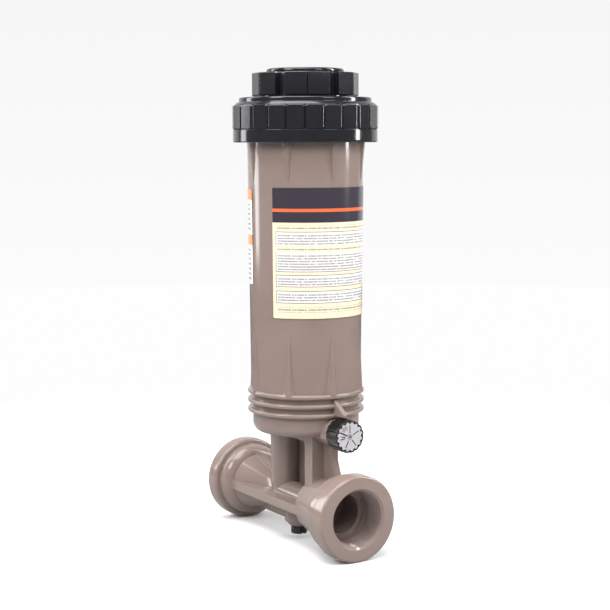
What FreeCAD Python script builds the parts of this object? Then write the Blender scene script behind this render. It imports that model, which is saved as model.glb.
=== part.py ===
import FreeCAD, Part

import math
import os

# Inline tablet chlorinator: a tall tablet chamber on a short pipe run, closed by a
# cover and lock nut, with a dial valve in front and a drain plug below.
# Millimetres. Origin on the pipe axis where the inlet thread starts, +X along the
# flow to the outlet, +Z up along the chamber. Heights are above the pipe axis.

V = FreeCAD.Vector
X_AXIS = V(1, 0, 0)
Y_AXIS = V(0, 1, 0)
Z_AXIS = V(0, 0, 1)

# Pipe run
PORT_TO_PORT = 203.2
PORT_CHAMFER = 2.2
INLET_TO_CHAMBER = 115.6
PORT_THREAD_R = 24.1
PORT_THREAD_DEPTH = 22.0
COLLAR_R = 37.5
COLLAR_EDGE = 2.6
INLET_COLLAR = 16.0
INLET_DOME_R = 33.0
INLET_DOME = 14.0
INLET_DOME_ROUND = 12.0
INLET_CONE_R = 25.5
OUTLET_COLLAR = 16.6
OUTLET_DOME_R = 34.2
OUTLET_DOME = 17.0
OUTLET_DOME_ROUND = 7.0
OUTLET_CONE_R = 29.0
OUTLET_HUB_X = 19.0
OUTLET_HUB_R = 23.6
OUTLET_HUB_ROUND = 2.2
CONDUIT_R = 12.5
CONDUIT_WALL = 2.9
LIP_R = 20.6
LIP_WIDTH = 3.0
PORT_BORE_R = 17.6
OUTLET_BORE_X = 25.0

# Ribs and webs of the pipe run
RIB_REACH = 26.0
RIB_TOP = 2.9
RIB_BOTTOM = -5.2
WEB_THICK = 5.0
TOP_WEB_Z = 29.6
BOTTOM_WEB_Z = -22.8

# Columns that carry the chamber
INLET_COLUMN_X = -36.3
INLET_COLUMN_TOP_R = 14.1
INLET_COLUMN_FOOT_R = 12.1
INLET_RISER_R = 6.5
OUTLET_COLUMN_X = 25.8
OUTLET_COLUMN_THICK = 12.7
OUTLET_COLUMN_WIDTH = 26.6
OUTLET_RISER_R = 4.2
SHELF_Z = 57.5
SHELF_FILLET = 5.0
GUSSET_THICK = 3.4
GUSSET_TOP_X = 47.0
GUSSET_TOP_Z = 53.0
GUSSET_SLOPE = 2.4

# Chamber
BOWL_BOTTOM = 64.0
BOWL_ROUND = 8.0
BOWL_R = 46.8
WALL = 4.2
RING_R = 51.1
RING_COUNT = 3
RING_PITCH = 8.2
RING_THICK = 3.8
RING_EDGE = 1.5
FIRST_RING_Z = 81.8
TUBE_FOOT_R = 48.3
TUBE_TOP_R = 50.5
NECK_Z = 318.2
NECK_CONE = 4.0
NECK_R = 55.6
NECK_TOP = 342.8
GRID_LEDGE = 1.6
GRID_LEDGE_Z = 81.8
FLOOR_Z = 68.8
FLOOR_ROUND = 8.0

# Gusset fins at both ends of the tube
FIN_COUNT = 8
FOOT_FIN_HEIGHT = 52.0
FOOT_FIN_R = 51.2
TOP_FIN_HEIGHT = 34.0
TOP_FIN_R = 53.5
FIN_BASE = 16.0
FIN_TIP = 4.0
FIN_TURN = -3.5

# Pointer fin above the dial
POINTER_THICK = 4.0
POINTER_ROOT_Z = 98.0
POINTER_TIP_X = 64.6
POINTER_TIP_Z = 86.3
POINTER_BOTTOM = 84.1

# Labels
LABEL_THICK = 0.3
LABEL_GAP = 0.05
FRONT_LABEL_ARC = 130.2
FRONT_LABEL_LOW = 168.2
FRONT_LABEL_HIGH = 279.2
SIDE_LABEL_START = -173.5
SIDE_LABEL_ARC = 76.0
SIDE_LABEL_LOW = 195.0
SIDE_LABEL_HIGH = 277.0

# Tablet grid
GRID_THICK = 3.2
GRID_RIM = 3.0
GRID_BAR = 2.6
GRID_PITCH = 9.0
SEAT_GAP = 0.3

# Cover and its seal
COVER_GAP = 0.3
COVER_FLANGE_R = 55.3
COVER_FLANGE = 4.6
SPIGOT_DEPTH = 8.0
SPIGOT_GAP = 0.5
SPIGOT_WALL = 4.0
COVER_BOSS_R = 47.8
COVER_BOSS_TOP = 355.0
GRIP_Z = 356.8
GRIP_TOP = 376.6
GRIP_R = 46.5
GRIP_RECESS_R = 39.5
GRIP_LOBES = 6
GRIP_LOBE_ARC = 50.0
GRIP_TURN = -28.9
GRIP_EDGE = 1.2
GRIP_CORNER = 1.6
GRIP_WALL = 4.0
CAP_DISC_R = 33.7
CAP_DISC_TOP = 380.4
CAP_DISC = 3.5
CAP_DISC_EDGE = 0.9
CAP_STEM_R = 28.7
COVER_RING_R = 51.2
COVER_RING_SECTION = 2.0
COVER_RING_SIDE = 0.25

# Lock nut
NUT_BOTTOM = 317.1
NUT_BAND_TOP = 328.0
NUT_BAND_R = 62.9
NUT_PANEL_FLAT_R = 63.1
NUT_PANEL_TOP = 348.7
NUT_PANELS = 24
NUT_PANEL_FILL = 0.91
NUT_PANEL_TURN = -23.9
NUT_PANEL_CORNER = 1.0
NUT_SHOULDER_Z = 351.3
NUT_SHOULDER_R = 59.7
NUT_LIP_R = 57.6
NUT_LIP_TOP = 355.6
NUT_THREAD_R = 57.8
NUT_MOUTH_GAP = 1.0

# Dial valve, on an axis along +X in front of the bowl
DIAL_Z = 68.8
BOSS_R = 12.0
BOSS_END = 54.6
TUNNEL_R = 7.2
TUNNEL_START = 14.0
SOCKET_R = 9.3
SOCKET_DEPTH = 8.0
CAGE_GAP = 0.2
CAGE_WALL = 2.1
CAGE_END = 2.0
CAGE_FLANGE = 2.3
CAGE_WINDOW = 8.0
CAGE_RING_X = (18.6, 40.0)
CAGE_RING_SECTION = 0.8
STEM_GAP = 0.06
STEM_RING_X = (34.5, 40.0)
STEM_RING_SECTION = 0.7
METER_WIDTH = 6.0
METER_R = 3.4
METER_OFFSET = 1.2
SHAFT_R = 3.5
SHAFT_FLAT = 0.9
BONNET_GAP = 0.2
BONNET_HEX = 15.0
BONNET_HEX_LENGTH = 4.4
BONNET_RING_SECTION = 0.8

# Control knob, dial plate and screw
KNOB_BACK = 55.1
KNOB_FACE = 71.6
KNOB_R = 14.3
KNOB_WALL = 2.2
KNOB_FRONT = 3.2
KNOB_FLUTES = 16
KNOB_FLUTE_R = 1.35
KNOB_FLUTE_DEPTH = 0.75
KNOB_HUB_R = 6.0
KNOB_HUB_BACK = 61.0
PLATE_R = 13.0
PLATE_THICK = 0.5
PLATE_NOTCH_R = 1.15
PLATE_GAP = 0.1
SCREW_HEAD_R = 2.3
SCREW_HEAD = 1.3
SCREW_R = 1.3
SCREW_LENGTH = 9.0

# Drain boss and plug
DRAIN_X = -12.5
DRAIN_BOSS_R = 12.8
DRAIN_BOSS_END = -25.0
DRAIN_BOSS_TIP_R = 8.8
DRAIN_BOSS_CHAMFER = 4.0
DRAIN_THREAD_R = 5.3
DRAIN_THREAD_GAP = 0.35
DRAIN_SEAT_R = 7.0
DRAIN_SEAT_DEPTH = 1.7
DRAIN_RING_SECTION = 0.8
PLUG_HEAD_R = 7.2
PLUG_HEAD_TOP = -25.3
PLUG_HEAD_BOTTOM = -32.7
PLUG_SHANK_TOP = -21.0
PLUG_EDGE = 0.6
PLUG_SLOT_WIDTH = 2.2
PLUG_SLOT_DEPTH = 3.0

# Worked out from the sizes above
INLET_FACE = -PORT_CHAMFER
OUTLET_FACE = PORT_TO_PORT - PORT_CHAMFER
CONDUIT_BORE_R = CONDUIT_R - CONDUIT_WALL
FIN_RIDGE = POINTER_THICK
LAST_RING_TOP = FIRST_RING_Z + (RING_COUNT - 1) * RING_PITCH + RING_THICK
TUBE_SLOPE = (TUBE_TOP_R - TUBE_FOOT_R) / (NECK_Z - LAST_RING_TOP)
CAGE_R = TUNNEL_R - CAGE_GAP
CAGE_BORE_R = CAGE_R - CAGE_WALL
STEM_R = CAGE_BORE_R - STEM_GAP
CAGE_START = TUNNEL_START + SEAT_GAP
SOCKET_FLOOR = BOSS_END - SOCKET_DEPTH
FLANGE_START = SOCKET_FLOOR + BONNET_GAP
FLANGE_END = FLANGE_START + CAGE_FLANGE
BONNET_START = FLANGE_END + BONNET_GAP
HEX_START = BOSS_END + BONNET_GAP
SHAFT_END = KNOB_FACE - KNOB_FRONT - SEAT_GAP


def at_chamber(dx, y, z):
    """Point given from the chamber axis."""
    return V(INLET_TO_CHAMBER + dx, y, z)


def tube_radius(z):
    """Outside radius of the drafted tube at a height."""
    return TUBE_FOOT_R + TUBE_SLOPE * (z - LAST_RING_TOP)


def rounded_wire(corners, place):
    """Closed wire through (a, b, radius) corners, each rounded by its radius."""
    edges = []
    count = len(corners)
    runs = []
    for i in range(count):
        a, b, radius = corners[i]
        here = V(a, b, 0)
        before = (V(corners[i - 1][0], corners[i - 1][1], 0) - here).normalize()
        after = (V(corners[(i + 1) % count][0], corners[(i + 1) % count][1], 0) - here).normalize()
        if radius <= 0:
            runs.append((here, None, here))
            continue
        half = before.getAngle(after) / 2
        reach = radius / math.tan(half)
        inward = (before + after).normalize()
        middle = here + inward * (radius / math.sin(half) - radius)
        runs.append((here + before * reach, middle, here + after * reach))
    for i in range(count):
        start, middle, end = runs[i]
        if middle is not None:
            edges.append(Part.Arc(place(start), place(middle), place(end)).toShape())
        following = runs[(i + 1) % count][0]
        if (following - end).Length > 1e-6:
            edges.append(Part.LineSegment(place(end), place(following)).toShape())
    return Part.Wire(edges)


def turned_upright(corners, dx=0.0):
    """Solid of revolution about a vertical axis; corners are (radius, z, rounding)."""
    wire = rounded_wire(corners, lambda p: at_chamber(dx + p.x, 0, p.y))
    return Part.Face(wire).revolve(at_chamber(dx, 0, 0), Z_AXIS, 360)


def turned_along_flow(corners, z=0.0):
    """Solid of revolution about the flow direction; corners are (x, radius, rounding)."""
    wire = rounded_wire(corners, lambda p: V(p.x, 0, z + p.y))
    return Part.Face(wire).revolve(V(0, 0, z), X_AXIS, 360)


def rod_x(radius, start, end, z=DIAL_Z):
    """Cylinder along the flow direction, measured from the chamber axis."""
    return Part.makeCylinder(radius, end - start, at_chamber(start, 0, z), X_AXIS)


def tube_x(outer, inner, start, end, z=DIAL_Z):
    """Sleeve along the flow direction."""
    return rod_x(outer, start, end, z).cut(rod_x(inner, start - 1, end + 1, z))


def ring_x(radius, section, x, z=DIAL_Z):
    """Round-section seal ring about an axis along the flow."""
    return Part.makeTorus(radius, section, at_chamber(x, 0, z), X_AXIS)


def rod_z(radius, low, high, dx=0.0):
    """Vertical cylinder, measured from the chamber axis."""
    return Part.makeCylinder(radius, high - low, at_chamber(dx, 0, low))


def block(dx_low, dx_high, y_low, y_high, z_low, z_high):
    """Box between six planes, along X from the chamber axis."""
    return Part.makeBox(dx_high - dx_low, y_high - y_low, z_high - z_low,
                        at_chamber(dx_low, y_low, z_low))


def plate_xz(points, thick):
    """Upright plate in the plane of the pipe and chamber axes; points are (dx, z)."""
    corners = [at_chamber(dx, -thick / 2, z) for dx, z in points]
    return Part.Face(Part.makePolygon(corners + corners[:1])).extrude(Y_AXIS * thick)


def turn_copies(shape, count, centre, axis):
    """The shape and its copies at equal angles about an axis."""
    copies = []
    for i in range(count):
        copy = shape.copy()
        copy.rotate(centre, axis, i * 360.0 / count)
        copies.append(copy)
    return copies


def pipe_outside():
    """Both ports with their collars and domes, the tapered conduit and the outlet hub."""
    inlet_back = INLET_FACE + INLET_COLLAR
    inlet_dome = inlet_back + INLET_DOME
    outlet_back = OUTLET_FACE - OUTLET_COLLAR
    outlet_dome = outlet_back - OUTLET_DOME
    hub = INLET_TO_CHAMBER + OUTLET_HUB_X
    taper_end = INLET_TO_CHAMBER + INLET_COLUMN_X - INLET_COLUMN_FOOT_R
    return turned_along_flow([
        (INLET_FACE, 0, 0), (INLET_FACE, COLLAR_R, COLLAR_EDGE),
        (inlet_back, COLLAR_R, COLLAR_EDGE), (inlet_back, INLET_DOME_R, 0),
        (inlet_dome, INLET_DOME_R, INLET_DOME_ROUND), (inlet_dome, INLET_CONE_R, 0),
        (taper_end, CONDUIT_R, 0), (hub, CONDUIT_R, 0),
        (hub, OUTLET_HUB_R, OUTLET_HUB_ROUND), (outlet_dome, OUTLET_CONE_R, 0),
        (outlet_dome + OUTLET_DOME_R - OUTLET_CONE_R, OUTLET_DOME_R, OUTLET_DOME_ROUND),
        (outlet_back, OUTLET_DOME_R, 0), (outlet_back, COLLAR_R, COLLAR_EDGE),
        (OUTLET_FACE, COLLAR_R, COLLAR_EDGE), (OUTLET_FACE, 0, 0)])


def port_bore(face, inward):
    """Passage profile points of one port, from outside its face to its plain bore."""
    mouth = face + inward * PORT_CHAMFER
    stop = mouth + inward * PORT_THREAD_DEPTH
    lip = stop + inward * LIP_WIDTH
    return [(face - inward, PORT_THREAD_R + PORT_CHAMFER + 1, 0),
            (mouth, PORT_THREAD_R, 0),
            (stop, PORT_THREAD_R, 0),
            (stop, LIP_R, 0),
            (lip, LIP_R, 0),
            (lip, PORT_BORE_R, 0)]


def pipe_passage():
    """Everything cut along the pipe axis; the narrow conduit drives water up the risers."""
    inlet = port_bore(INLET_FACE, 1)
    outlet = port_bore(OUTLET_FACE, -1)
    taper_start = INLET_FACE + INLET_COLLAR + INLET_DOME
    taper_end = INLET_TO_CHAMBER + INLET_COLUMN_X - INLET_COLUMN_FOOT_R
    step = INLET_TO_CHAMBER + OUTLET_BORE_X
    waist = [(taper_start, PORT_BORE_R, 0), (taper_end, CONDUIT_BORE_R, 0),
             (step, CONDUIT_BORE_R, 0), (step + PORT_BORE_R - CONDUIT_BORE_R, PORT_BORE_R, 0)]
    outline = [(INLET_FACE - 1, 0, 0)] + inlet + waist + outlet[::-1] + [(OUTLET_FACE + 1, 0, 0)]
    return turned_along_flow(outline)


def pipe_ribs():
    """Side ribs from dome to dome, and the upright web over and under the conduit."""
    low = INLET_FACE + INLET_COLLAR + INLET_DOME / 2 - INLET_TO_CHAMBER
    high = OUTLET_FACE - OUTLET_COLLAR - OUTLET_DOME / 2 - INLET_TO_CHAMBER
    rib = block(low, high, -RIB_REACH, RIB_REACH, RIB_BOTTOM, RIB_TOP)
    top = block(low, INLET_COLUMN_X, -WEB_THICK / 2, WEB_THICK / 2, 0, TOP_WEB_Z)
    bottom = block(low, OUTLET_HUB_X + OUTLET_HUB_ROUND, -WEB_THICK / 2, WEB_THICK / 2, BOTTOM_WEB_Z, 0)
    return [rib, top, bottom]


def columns():
    """Round inlet column, flat outlet column, the web behind them and the shelf above."""
    top = BOWL_BOTTOM + 2
    inlet = Part.makeCone(INLET_COLUMN_FOOT_R, INLET_COLUMN_TOP_R, top,
                          at_chamber(INLET_COLUMN_X, 0, 0))
    back = OUTLET_COLUMN_X - OUTLET_COLUMN_THICK / 2
    front = OUTLET_COLUMN_X + OUTLET_COLUMN_THICK / 2
    half = OUTLET_COLUMN_WIDTH / 2
    outlet = block(back, front, -half, half, 0, top)
    web = block(INLET_COLUMN_X, back + 1, half - WEB_THICK, half, 0, top)
    foot = SHELF_Z - 2 * SHELF_FILLET
    arch = [(INLET_COLUMN_X, SHELF_Z, 0), (back, SHELF_Z, SHELF_FILLET), (back, foot, 0),
            (back + 2, foot, 0), (back + 2, top, 0), (INLET_COLUMN_X, top, 0)]
    wire = rounded_wire(arch, lambda p: at_chamber(p.x, -half, p.y))
    shelf = Part.Face(wire).extrude(Y_AXIS * 2 * half)
    return [inlet, outlet, web, shelf]


def front_gusset():
    """Web in front of the outlet column, sloping down to the outlet dome."""
    front = OUTLET_COLUMN_X + OUTLET_COLUMN_THICK / 2
    foot_z = OUTLET_CONE_R
    foot_x = GUSSET_TOP_X + (GUSSET_TOP_Z - foot_z) / GUSSET_SLOPE
    outline = [(front - 1, 0), (foot_x, 0), (foot_x, foot_z), (GUSSET_TOP_X, GUSSET_TOP_Z),
               (GUSSET_TOP_X, DIAL_Z), (front - 1, DIAL_Z)]
    return plate_xz(outline, GUSSET_THICK)


def drain_boss():
    """Chamfered boss under the pipe for the drain plug."""
    return turned_upright([(0, 0, 0), (DRAIN_BOSS_R, 0, 0),
                           (DRAIN_BOSS_R, DRAIN_BOSS_END + DRAIN_BOSS_CHAMFER, 0),
                           (DRAIN_BOSS_TIP_R, DRAIN_BOSS_END, 0),
                           (0, DRAIN_BOSS_END, 0)], DRAIN_X)


def chamber_outside():
    """Bowl, rings, drafted tube and neck as one turned form."""
    outline = [(0, BOWL_BOTTOM, 0), (BOWL_R, BOWL_BOTTOM, BOWL_ROUND)]
    for i in range(RING_COUNT):
        low = FIRST_RING_Z + i * RING_PITCH
        high = low + RING_THICK
        outline += [(BOWL_R, low, 0), (RING_R, low, RING_EDGE), (RING_R, high, RING_EDGE)]
        if i < RING_COUNT - 1:
            outline.append((BOWL_R, high, 0))
    outline += [(TUBE_FOOT_R, LAST_RING_TOP, 0), (TUBE_TOP_R, NECK_Z, 0),
                (NECK_R, NECK_Z + NECK_CONE, 0), (NECK_R, NECK_TOP, 1.0), (0, NECK_TOP, 0)]
    return turned_upright(outline)


def fin(base_z, tip_z, base_reach):
    """One tent-shaped gusset fin on the +X side of the tube, wide at its base."""
    root = TUBE_FOOT_R - WALL / 2
    sections = []
    for z, reach, width, ridge in ((base_z, base_reach, FIN_BASE, FIN_RIDGE),
                                   (tip_z, tube_radius(tip_z) + 0.1, FIN_TIP, FIN_TIP / 2)):
        corners = [at_chamber(root, -width / 2, z), at_chamber(reach, -ridge / 2, z),
                   at_chamber(reach, ridge / 2, z), at_chamber(root, width / 2, z)]
        sections.append(Part.makePolygon(corners + corners[:1]))
    return Part.makeLoft(sections, True, True)


def tube_fins():
    """Fins that rise from the top ring and hang from the neck."""
    foot = fin(LAST_RING_TOP - 1, LAST_RING_TOP + FOOT_FIN_HEIGHT, FOOT_FIN_R)
    top = fin(NECK_Z + 1, NECK_Z - TOP_FIN_HEIGHT, TOP_FIN_R)
    centre = at_chamber(0, 0, 0)
    for shape in (foot, top):
        shape.rotate(centre, Z_AXIS, FIN_TURN)
    return turn_copies(foot, FIN_COUNT, centre, Z_AXIS) + turn_copies(top, FIN_COUNT, centre, Z_AXIS)


def pointer():
    """Fin above the dial whose tip marks the setting."""
    root = BOWL_R - WALL / 2
    outline = [(root, POINTER_BOTTOM), (POINTER_TIP_X, POINTER_BOTTOM),
               (POINTER_TIP_X, POINTER_TIP_Z), (BOWL_R, POINTER_ROOT_Z), (root, POINTER_ROOT_Z)]
    return plate_xz(outline, POINTER_THICK)


def chamber_cavity():
    """Inside of the chamber, with a ledge for the grid and the valve tunnel left standing."""
    foot = TUBE_FOOT_R - WALL
    cavity = turned_upright([(0, FLOOR_Z, 0), (foot - GRID_LEDGE, FLOOR_Z, FLOOR_ROUND),
                             (foot - GRID_LEDGE, GRID_LEDGE_Z, 0), (foot, GRID_LEDGE_Z, 0),
                             (foot, LAST_RING_TOP, 0),
                             (tube_radius(NECK_TOP + 1) - WALL, NECK_TOP + 1, 0),
                             (0, NECK_TOP + 1, 0)])
    tunnel = rod_x(TUNNEL_R + WALL / 2, TUNNEL_START - WALL, BOWL_R)
    return cavity.cut(tunnel)


def valve_bores():
    """Valve tunnel and socket, the two risers and the window from the chamber."""
    tunnel = rod_x(TUNNEL_R, TUNNEL_START, BOSS_END + 1)
    socket = rod_x(SOCKET_R, SOCKET_FLOOR, BOSS_END + 1)
    inlet_riser = rod_z(INLET_RISER_R, 0, FLOOR_Z + WALL, INLET_COLUMN_X)
    outlet_riser = rod_z(OUTLET_RISER_R, 0, DIAL_Z, OUTLET_COLUMN_X)
    window = rod_z(OUTLET_RISER_R, DIAL_Z, DIAL_Z + TUNNEL_R + WALL, OUTLET_COLUMN_X)
    return [tunnel, socket, inlet_riser, outlet_riser, window]


def drain_bores():
    """Drain hole into the pipe and the seat for its seal ring."""
    hole = rod_z(DRAIN_THREAD_R, DRAIN_BOSS_END - 1, 0, DRAIN_X)
    seat = rod_z(DRAIN_SEAT_R, DRAIN_BOSS_END - 1, DRAIN_BOSS_END + DRAIN_SEAT_DEPTH, DRAIN_X)
    return [hole, seat]


def moulding():
    """Pipe run, columns, bowl and tube together."""
    dial_boss = rod_x(BOSS_R, TUNNEL_START - WALL, BOSS_END)
    solid = chamber_outside().fuse([pipe_outside(), dial_boss, drain_boss(), pointer(),
                                    front_gusset()] + pipe_ribs() + columns() + tube_fins())
    solid = solid.cut([chamber_cavity(), pipe_passage()] + valve_bores() + drain_bores())
    return solid.removeSplitter()


def base_and_tube():
    """The moulding parted under its first ring: the pipe base with the bowl, and the tube."""
    solid = moulding()
    above = block(-PORT_TO_PORT, PORT_TO_PORT, -PORT_TO_PORT, PORT_TO_PORT, FIRST_RING_Z, 2 * NECK_TOP)
    return solid.cut(above), solid.common(above)


def wrapped_label(start, arc, low, high):
    """Thin label that follows the drafted tube."""
    near_low = tube_radius(low) + LABEL_GAP
    near_high = tube_radius(high) + LABEL_GAP
    corners = [(near_low, low), (near_low + LABEL_THICK, low),
               (near_high + LABEL_THICK, high), (near_high, high)]
    points = [at_chamber(r, 0, z) for r, z in corners]
    face = Part.Face(Part.makePolygon(points + points[:1]))
    face.rotate(at_chamber(0, 0, 0), Z_AXIS, start)
    return face.revolve(at_chamber(0, 0, 0), Z_AXIS, arc)


def tablet_grid():
    """Slatted disc that keeps the tablets off the chamber floor."""
    low = GRID_LEDGE_Z + SEAT_GAP
    radius = TUBE_FOOT_R - WALL - SEAT_GAP
    disc = rod_z(radius, low, low + GRID_THICK)
    inner = radius - GRID_RIM
    slots = []
    steps = int(inner / GRID_PITCH)
    for i in range(-steps, steps + 1):
        for j in range(-steps, steps + 1):
            slots.append(block((i - 0.5) * GRID_PITCH + GRID_BAR / 2, (i + 0.5) * GRID_PITCH - GRID_BAR / 2,
                               (j - 0.5) * GRID_PITCH + GRID_BAR / 2, (j + 0.5) * GRID_PITCH - GRID_BAR / 2,
                               low - 1, low + GRID_THICK + 1))
    opening = rod_z(inner, low - 1, low + GRID_THICK + 1)
    return disc.cut(Part.makeCompound(slots).common(opening))


def grip_outline():
    """Corner points of the six-lobed hand grip, each lobe with two shallow facets."""
    corners = []
    pitch = 360.0 / GRIP_LOBES
    half = GRIP_LOBE_ARC / 2
    for i in range(GRIP_LOBES):
        middle = GRIP_TURN + i * pitch
        for angle, radius, rounding in ((-half, GRIP_RECESS_R, GRIP_CORNER),
                                        (-half, GRIP_R, GRIP_CORNER), (0, GRIP_R, 0),
                                        (half, GRIP_R, GRIP_CORNER),
                                        (half, GRIP_RECESS_R, GRIP_CORNER)):
            turn = math.radians(middle + angle)
            corners.append((radius * math.cos(turn), radius * math.sin(turn), rounding))
    return corners


def hand_grip():
    """Lobed grip with softened top and bottom edges."""
    wire = rounded_wire(grip_outline(), lambda p: at_chamber(p.x, p.y, GRIP_Z))
    grip = Part.Face(wire).extrude(Z_AXIS * (GRIP_TOP - GRIP_Z))
    rims = [e for e in grip.Edges if abs(e.BoundBox.ZLength) < 1e-6]
    return grip.makeChamfer(GRIP_EDGE / 2, rims)


def cover():
    """Plug, flange, lobed grip and top disc in one moulding, hollow from below."""
    seat = NECK_TOP + COVER_GAP
    spigot_r = tube_radius(NECK_TOP - SPIGOT_DEPTH) - WALL - SPIGOT_GAP
    outline = [(0, seat - SPIGOT_DEPTH, 0), (spigot_r, seat - SPIGOT_DEPTH, 1.0), (spigot_r, seat, 0),
               (COVER_FLANGE_R, seat, 0.6), (COVER_FLANGE_R, seat + COVER_FLANGE, 0.6),
               (COVER_BOSS_R, seat + COVER_FLANGE, 0), (COVER_BOSS_R, COVER_BOSS_TOP, 1.0),
               (GRIP_RECESS_R, COVER_BOSS_TOP, 0), (GRIP_RECESS_R, GRIP_Z + 1, 0), (0, GRIP_Z + 1, 0)]
    disc = turned_upright([(0, GRIP_TOP - 1, 0), (CAP_STEM_R, GRIP_TOP - 1, 0),
                           (CAP_STEM_R, CAP_DISC_TOP - CAP_DISC, 0),
                           (CAP_DISC_R, CAP_DISC_TOP - CAP_DISC, CAP_DISC_EDGE),
                           (CAP_DISC_R, CAP_DISC_TOP, CAP_DISC_EDGE), (0, CAP_DISC_TOP, 0)])
    solid = turned_upright(outline).fuse([hand_grip(), disc])
    hollow = turned_upright([(0, seat - SPIGOT_DEPTH - 1, 0),
                             (spigot_r - SPIGOT_WALL, seat - SPIGOT_DEPTH - 1, 0),
                             (spigot_r - SPIGOT_WALL, seat, 0), (GRIP_RECESS_R - GRIP_WALL, GRIP_Z, 0),
                             (GRIP_RECESS_R - GRIP_WALL, GRIP_TOP - GRIP_WALL, 3.0),
                             (0, GRIP_TOP - GRIP_WALL, 0)])
    groove_r = COVER_RING_SECTION + COVER_RING_SIDE
    groove = rod_z(COVER_RING_R + groove_r, seat - 1, NECK_TOP + 2 * COVER_RING_SECTION + 0.15)
    groove = groove.cut(rod_z(COVER_RING_R - groove_r, seat - 2, GRIP_Z))
    return solid.cut([hollow, groove]).removeSplitter()


def cover_o_ring():
    """Seal between the neck and the cover."""
    height = NECK_TOP + COVER_RING_SECTION + 0.05
    return Part.makeTorus(COVER_RING_R, COVER_RING_SECTION, at_chamber(0, 0, height), Z_AXIS)


def nut_panel():
    """One flat grip panel, rounded at its corners."""
    half = NUT_PANEL_FLAT_R * math.tan(math.radians(180.0 / NUT_PANELS)) * NUT_PANEL_FILL
    low = NUT_BAND_TOP + 0.3
    high = NUT_PANEL_TOP
    corners = [(-half, low, NUT_PANEL_CORNER), (half, low, NUT_PANEL_CORNER),
               (half, high, NUT_PANEL_CORNER), (-half, high, NUT_PANEL_CORNER)]
    inner = NUT_THREAD_R + 2
    wire = rounded_wire(corners, lambda p: at_chamber(inner, p.x, p.y))
    panel = Part.Face(wire).extrude(X_AXIS * (NUT_PANEL_FLAT_R - inner + 0.25))
    panel.rotate(at_chamber(0, 0, 0), Z_AXIS, NUT_PANEL_TURN)
    return panel


def lock_nut():
    """Ring that screws onto the neck and holds the cover down."""
    mouth = COVER_BOSS_R + NUT_MOUTH_GAP
    ceiling = NECK_TOP + COVER_GAP + COVER_FLANGE + COVER_GAP
    core = NUT_BAND_R - 0.5
    outline = [(NUT_THREAD_R, NUT_BOTTOM, 0.8), (NUT_BAND_R, NUT_BOTTOM, 0.6),
               (NUT_BAND_R, NUT_BAND_TOP, 0.3), (core, NUT_BAND_TOP + 0.3, 0),
               (core, NUT_PANEL_TOP + 0.3, 0), (NUT_SHOULDER_R, NUT_SHOULDER_Z, 0.8),
               (NUT_LIP_R, NUT_SHOULDER_Z, 0), (NUT_LIP_R, NUT_LIP_TOP, 1.2),
               (mouth, NUT_LIP_TOP, 0.8), (mouth, ceiling, 0), (NUT_THREAD_R, ceiling, 0)]
    panels = turn_copies(nut_panel(), NUT_PANELS, at_chamber(0, 0, 0), Z_AXIS)
    return turned_upright(outline).fuse(panels).removeSplitter()


def valve_cage():
    """Sleeve in the tunnel with a window up to the chamber and one down to the riser."""
    body = rod_x(CAGE_R, CAGE_START, FLANGE_START)
    flange = rod_x(SOCKET_R - CAGE_GAP, FLANGE_START, FLANGE_END)
    bore = rod_x(CAGE_BORE_R, CAGE_START + CAGE_END, FLANGE_END + 1)
    half = CAGE_WINDOW / 2
    windows = block(OUTLET_COLUMN_X - METER_WIDTH / 2, OUTLET_COLUMN_X + METER_WIDTH / 2,
                    -half, half, DIAL_Z - CAGE_R - 1, DIAL_Z + CAGE_R + 1)
    windows = windows.cut(rod_x(CAGE_BORE_R, CAGE_START, FLANGE_END))
    grooves = [ring_groove(CAGE_R, CAGE_RING_SECTION, x) for x in CAGE_RING_X]
    return body.fuse(flange).cut([bore, windows] + grooves).removeSplitter()


def ring_groove(radius, section, x):
    """Square groove cut into a shaft for a seal ring of the given section."""
    depth = 2 * section - CAGE_GAP + 0.1
    return tube_x(radius + 1, radius - depth, x - section - 0.1, x + section + 0.1)


def cage_o_rings():
    """Seals between the cage and the tunnel."""
    radius = TUNNEL_R - CAGE_RING_SECTION - 0.02
    return Part.makeCompound([ring_x(radius, CAGE_RING_SECTION, x) for x in CAGE_RING_X])


def valve_stem():
    """Stem with an off-centre metering groove and a flatted shaft for the knob."""
    barrel = rod_x(STEM_R, CAGE_START + CAGE_END + SEAT_GAP, FLANGE_END)
    shaft = rod_x(SHAFT_R, FLANGE_END - 1, SHAFT_END)
    flat = block(HEX_START + BONNET_HEX_LENGTH + 1, SHAFT_END + 1, -SHAFT_R, SHAFT_R,
                 DIAL_Z + SHAFT_R - SHAFT_FLAT, DIAL_Z + SHAFT_R + 1)
    low = OUTLET_COLUMN_X - METER_WIDTH / 2
    core = Part.makeCylinder(METER_R, METER_WIDTH, at_chamber(low, 0, DIAL_Z + METER_OFFSET), X_AXIS)
    meter = rod_x(STEM_R + 1, low, low + METER_WIDTH).cut(core)
    grooves = []
    for x in STEM_RING_X:
        depth = 2 * STEM_RING_SECTION - STEM_GAP + 0.1
        grooves.append(tube_x(STEM_R + 1, STEM_R - depth, x - STEM_RING_SECTION - 0.1,
                              x + STEM_RING_SECTION + 0.1))
    pilot = rod_x(SCREW_R + 0.1, SHAFT_END - SCREW_LENGTH, SHAFT_END + 1)
    return barrel.fuse(shaft).cut([flat, meter, pilot] + grooves).removeSplitter()


def stem_o_rings():
    """Seals between the stem and the cage."""
    radius = CAGE_BORE_R - STEM_RING_SECTION - 0.02
    return Part.makeCompound([ring_x(radius, STEM_RING_SECTION, x) for x in STEM_RING_X])


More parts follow.
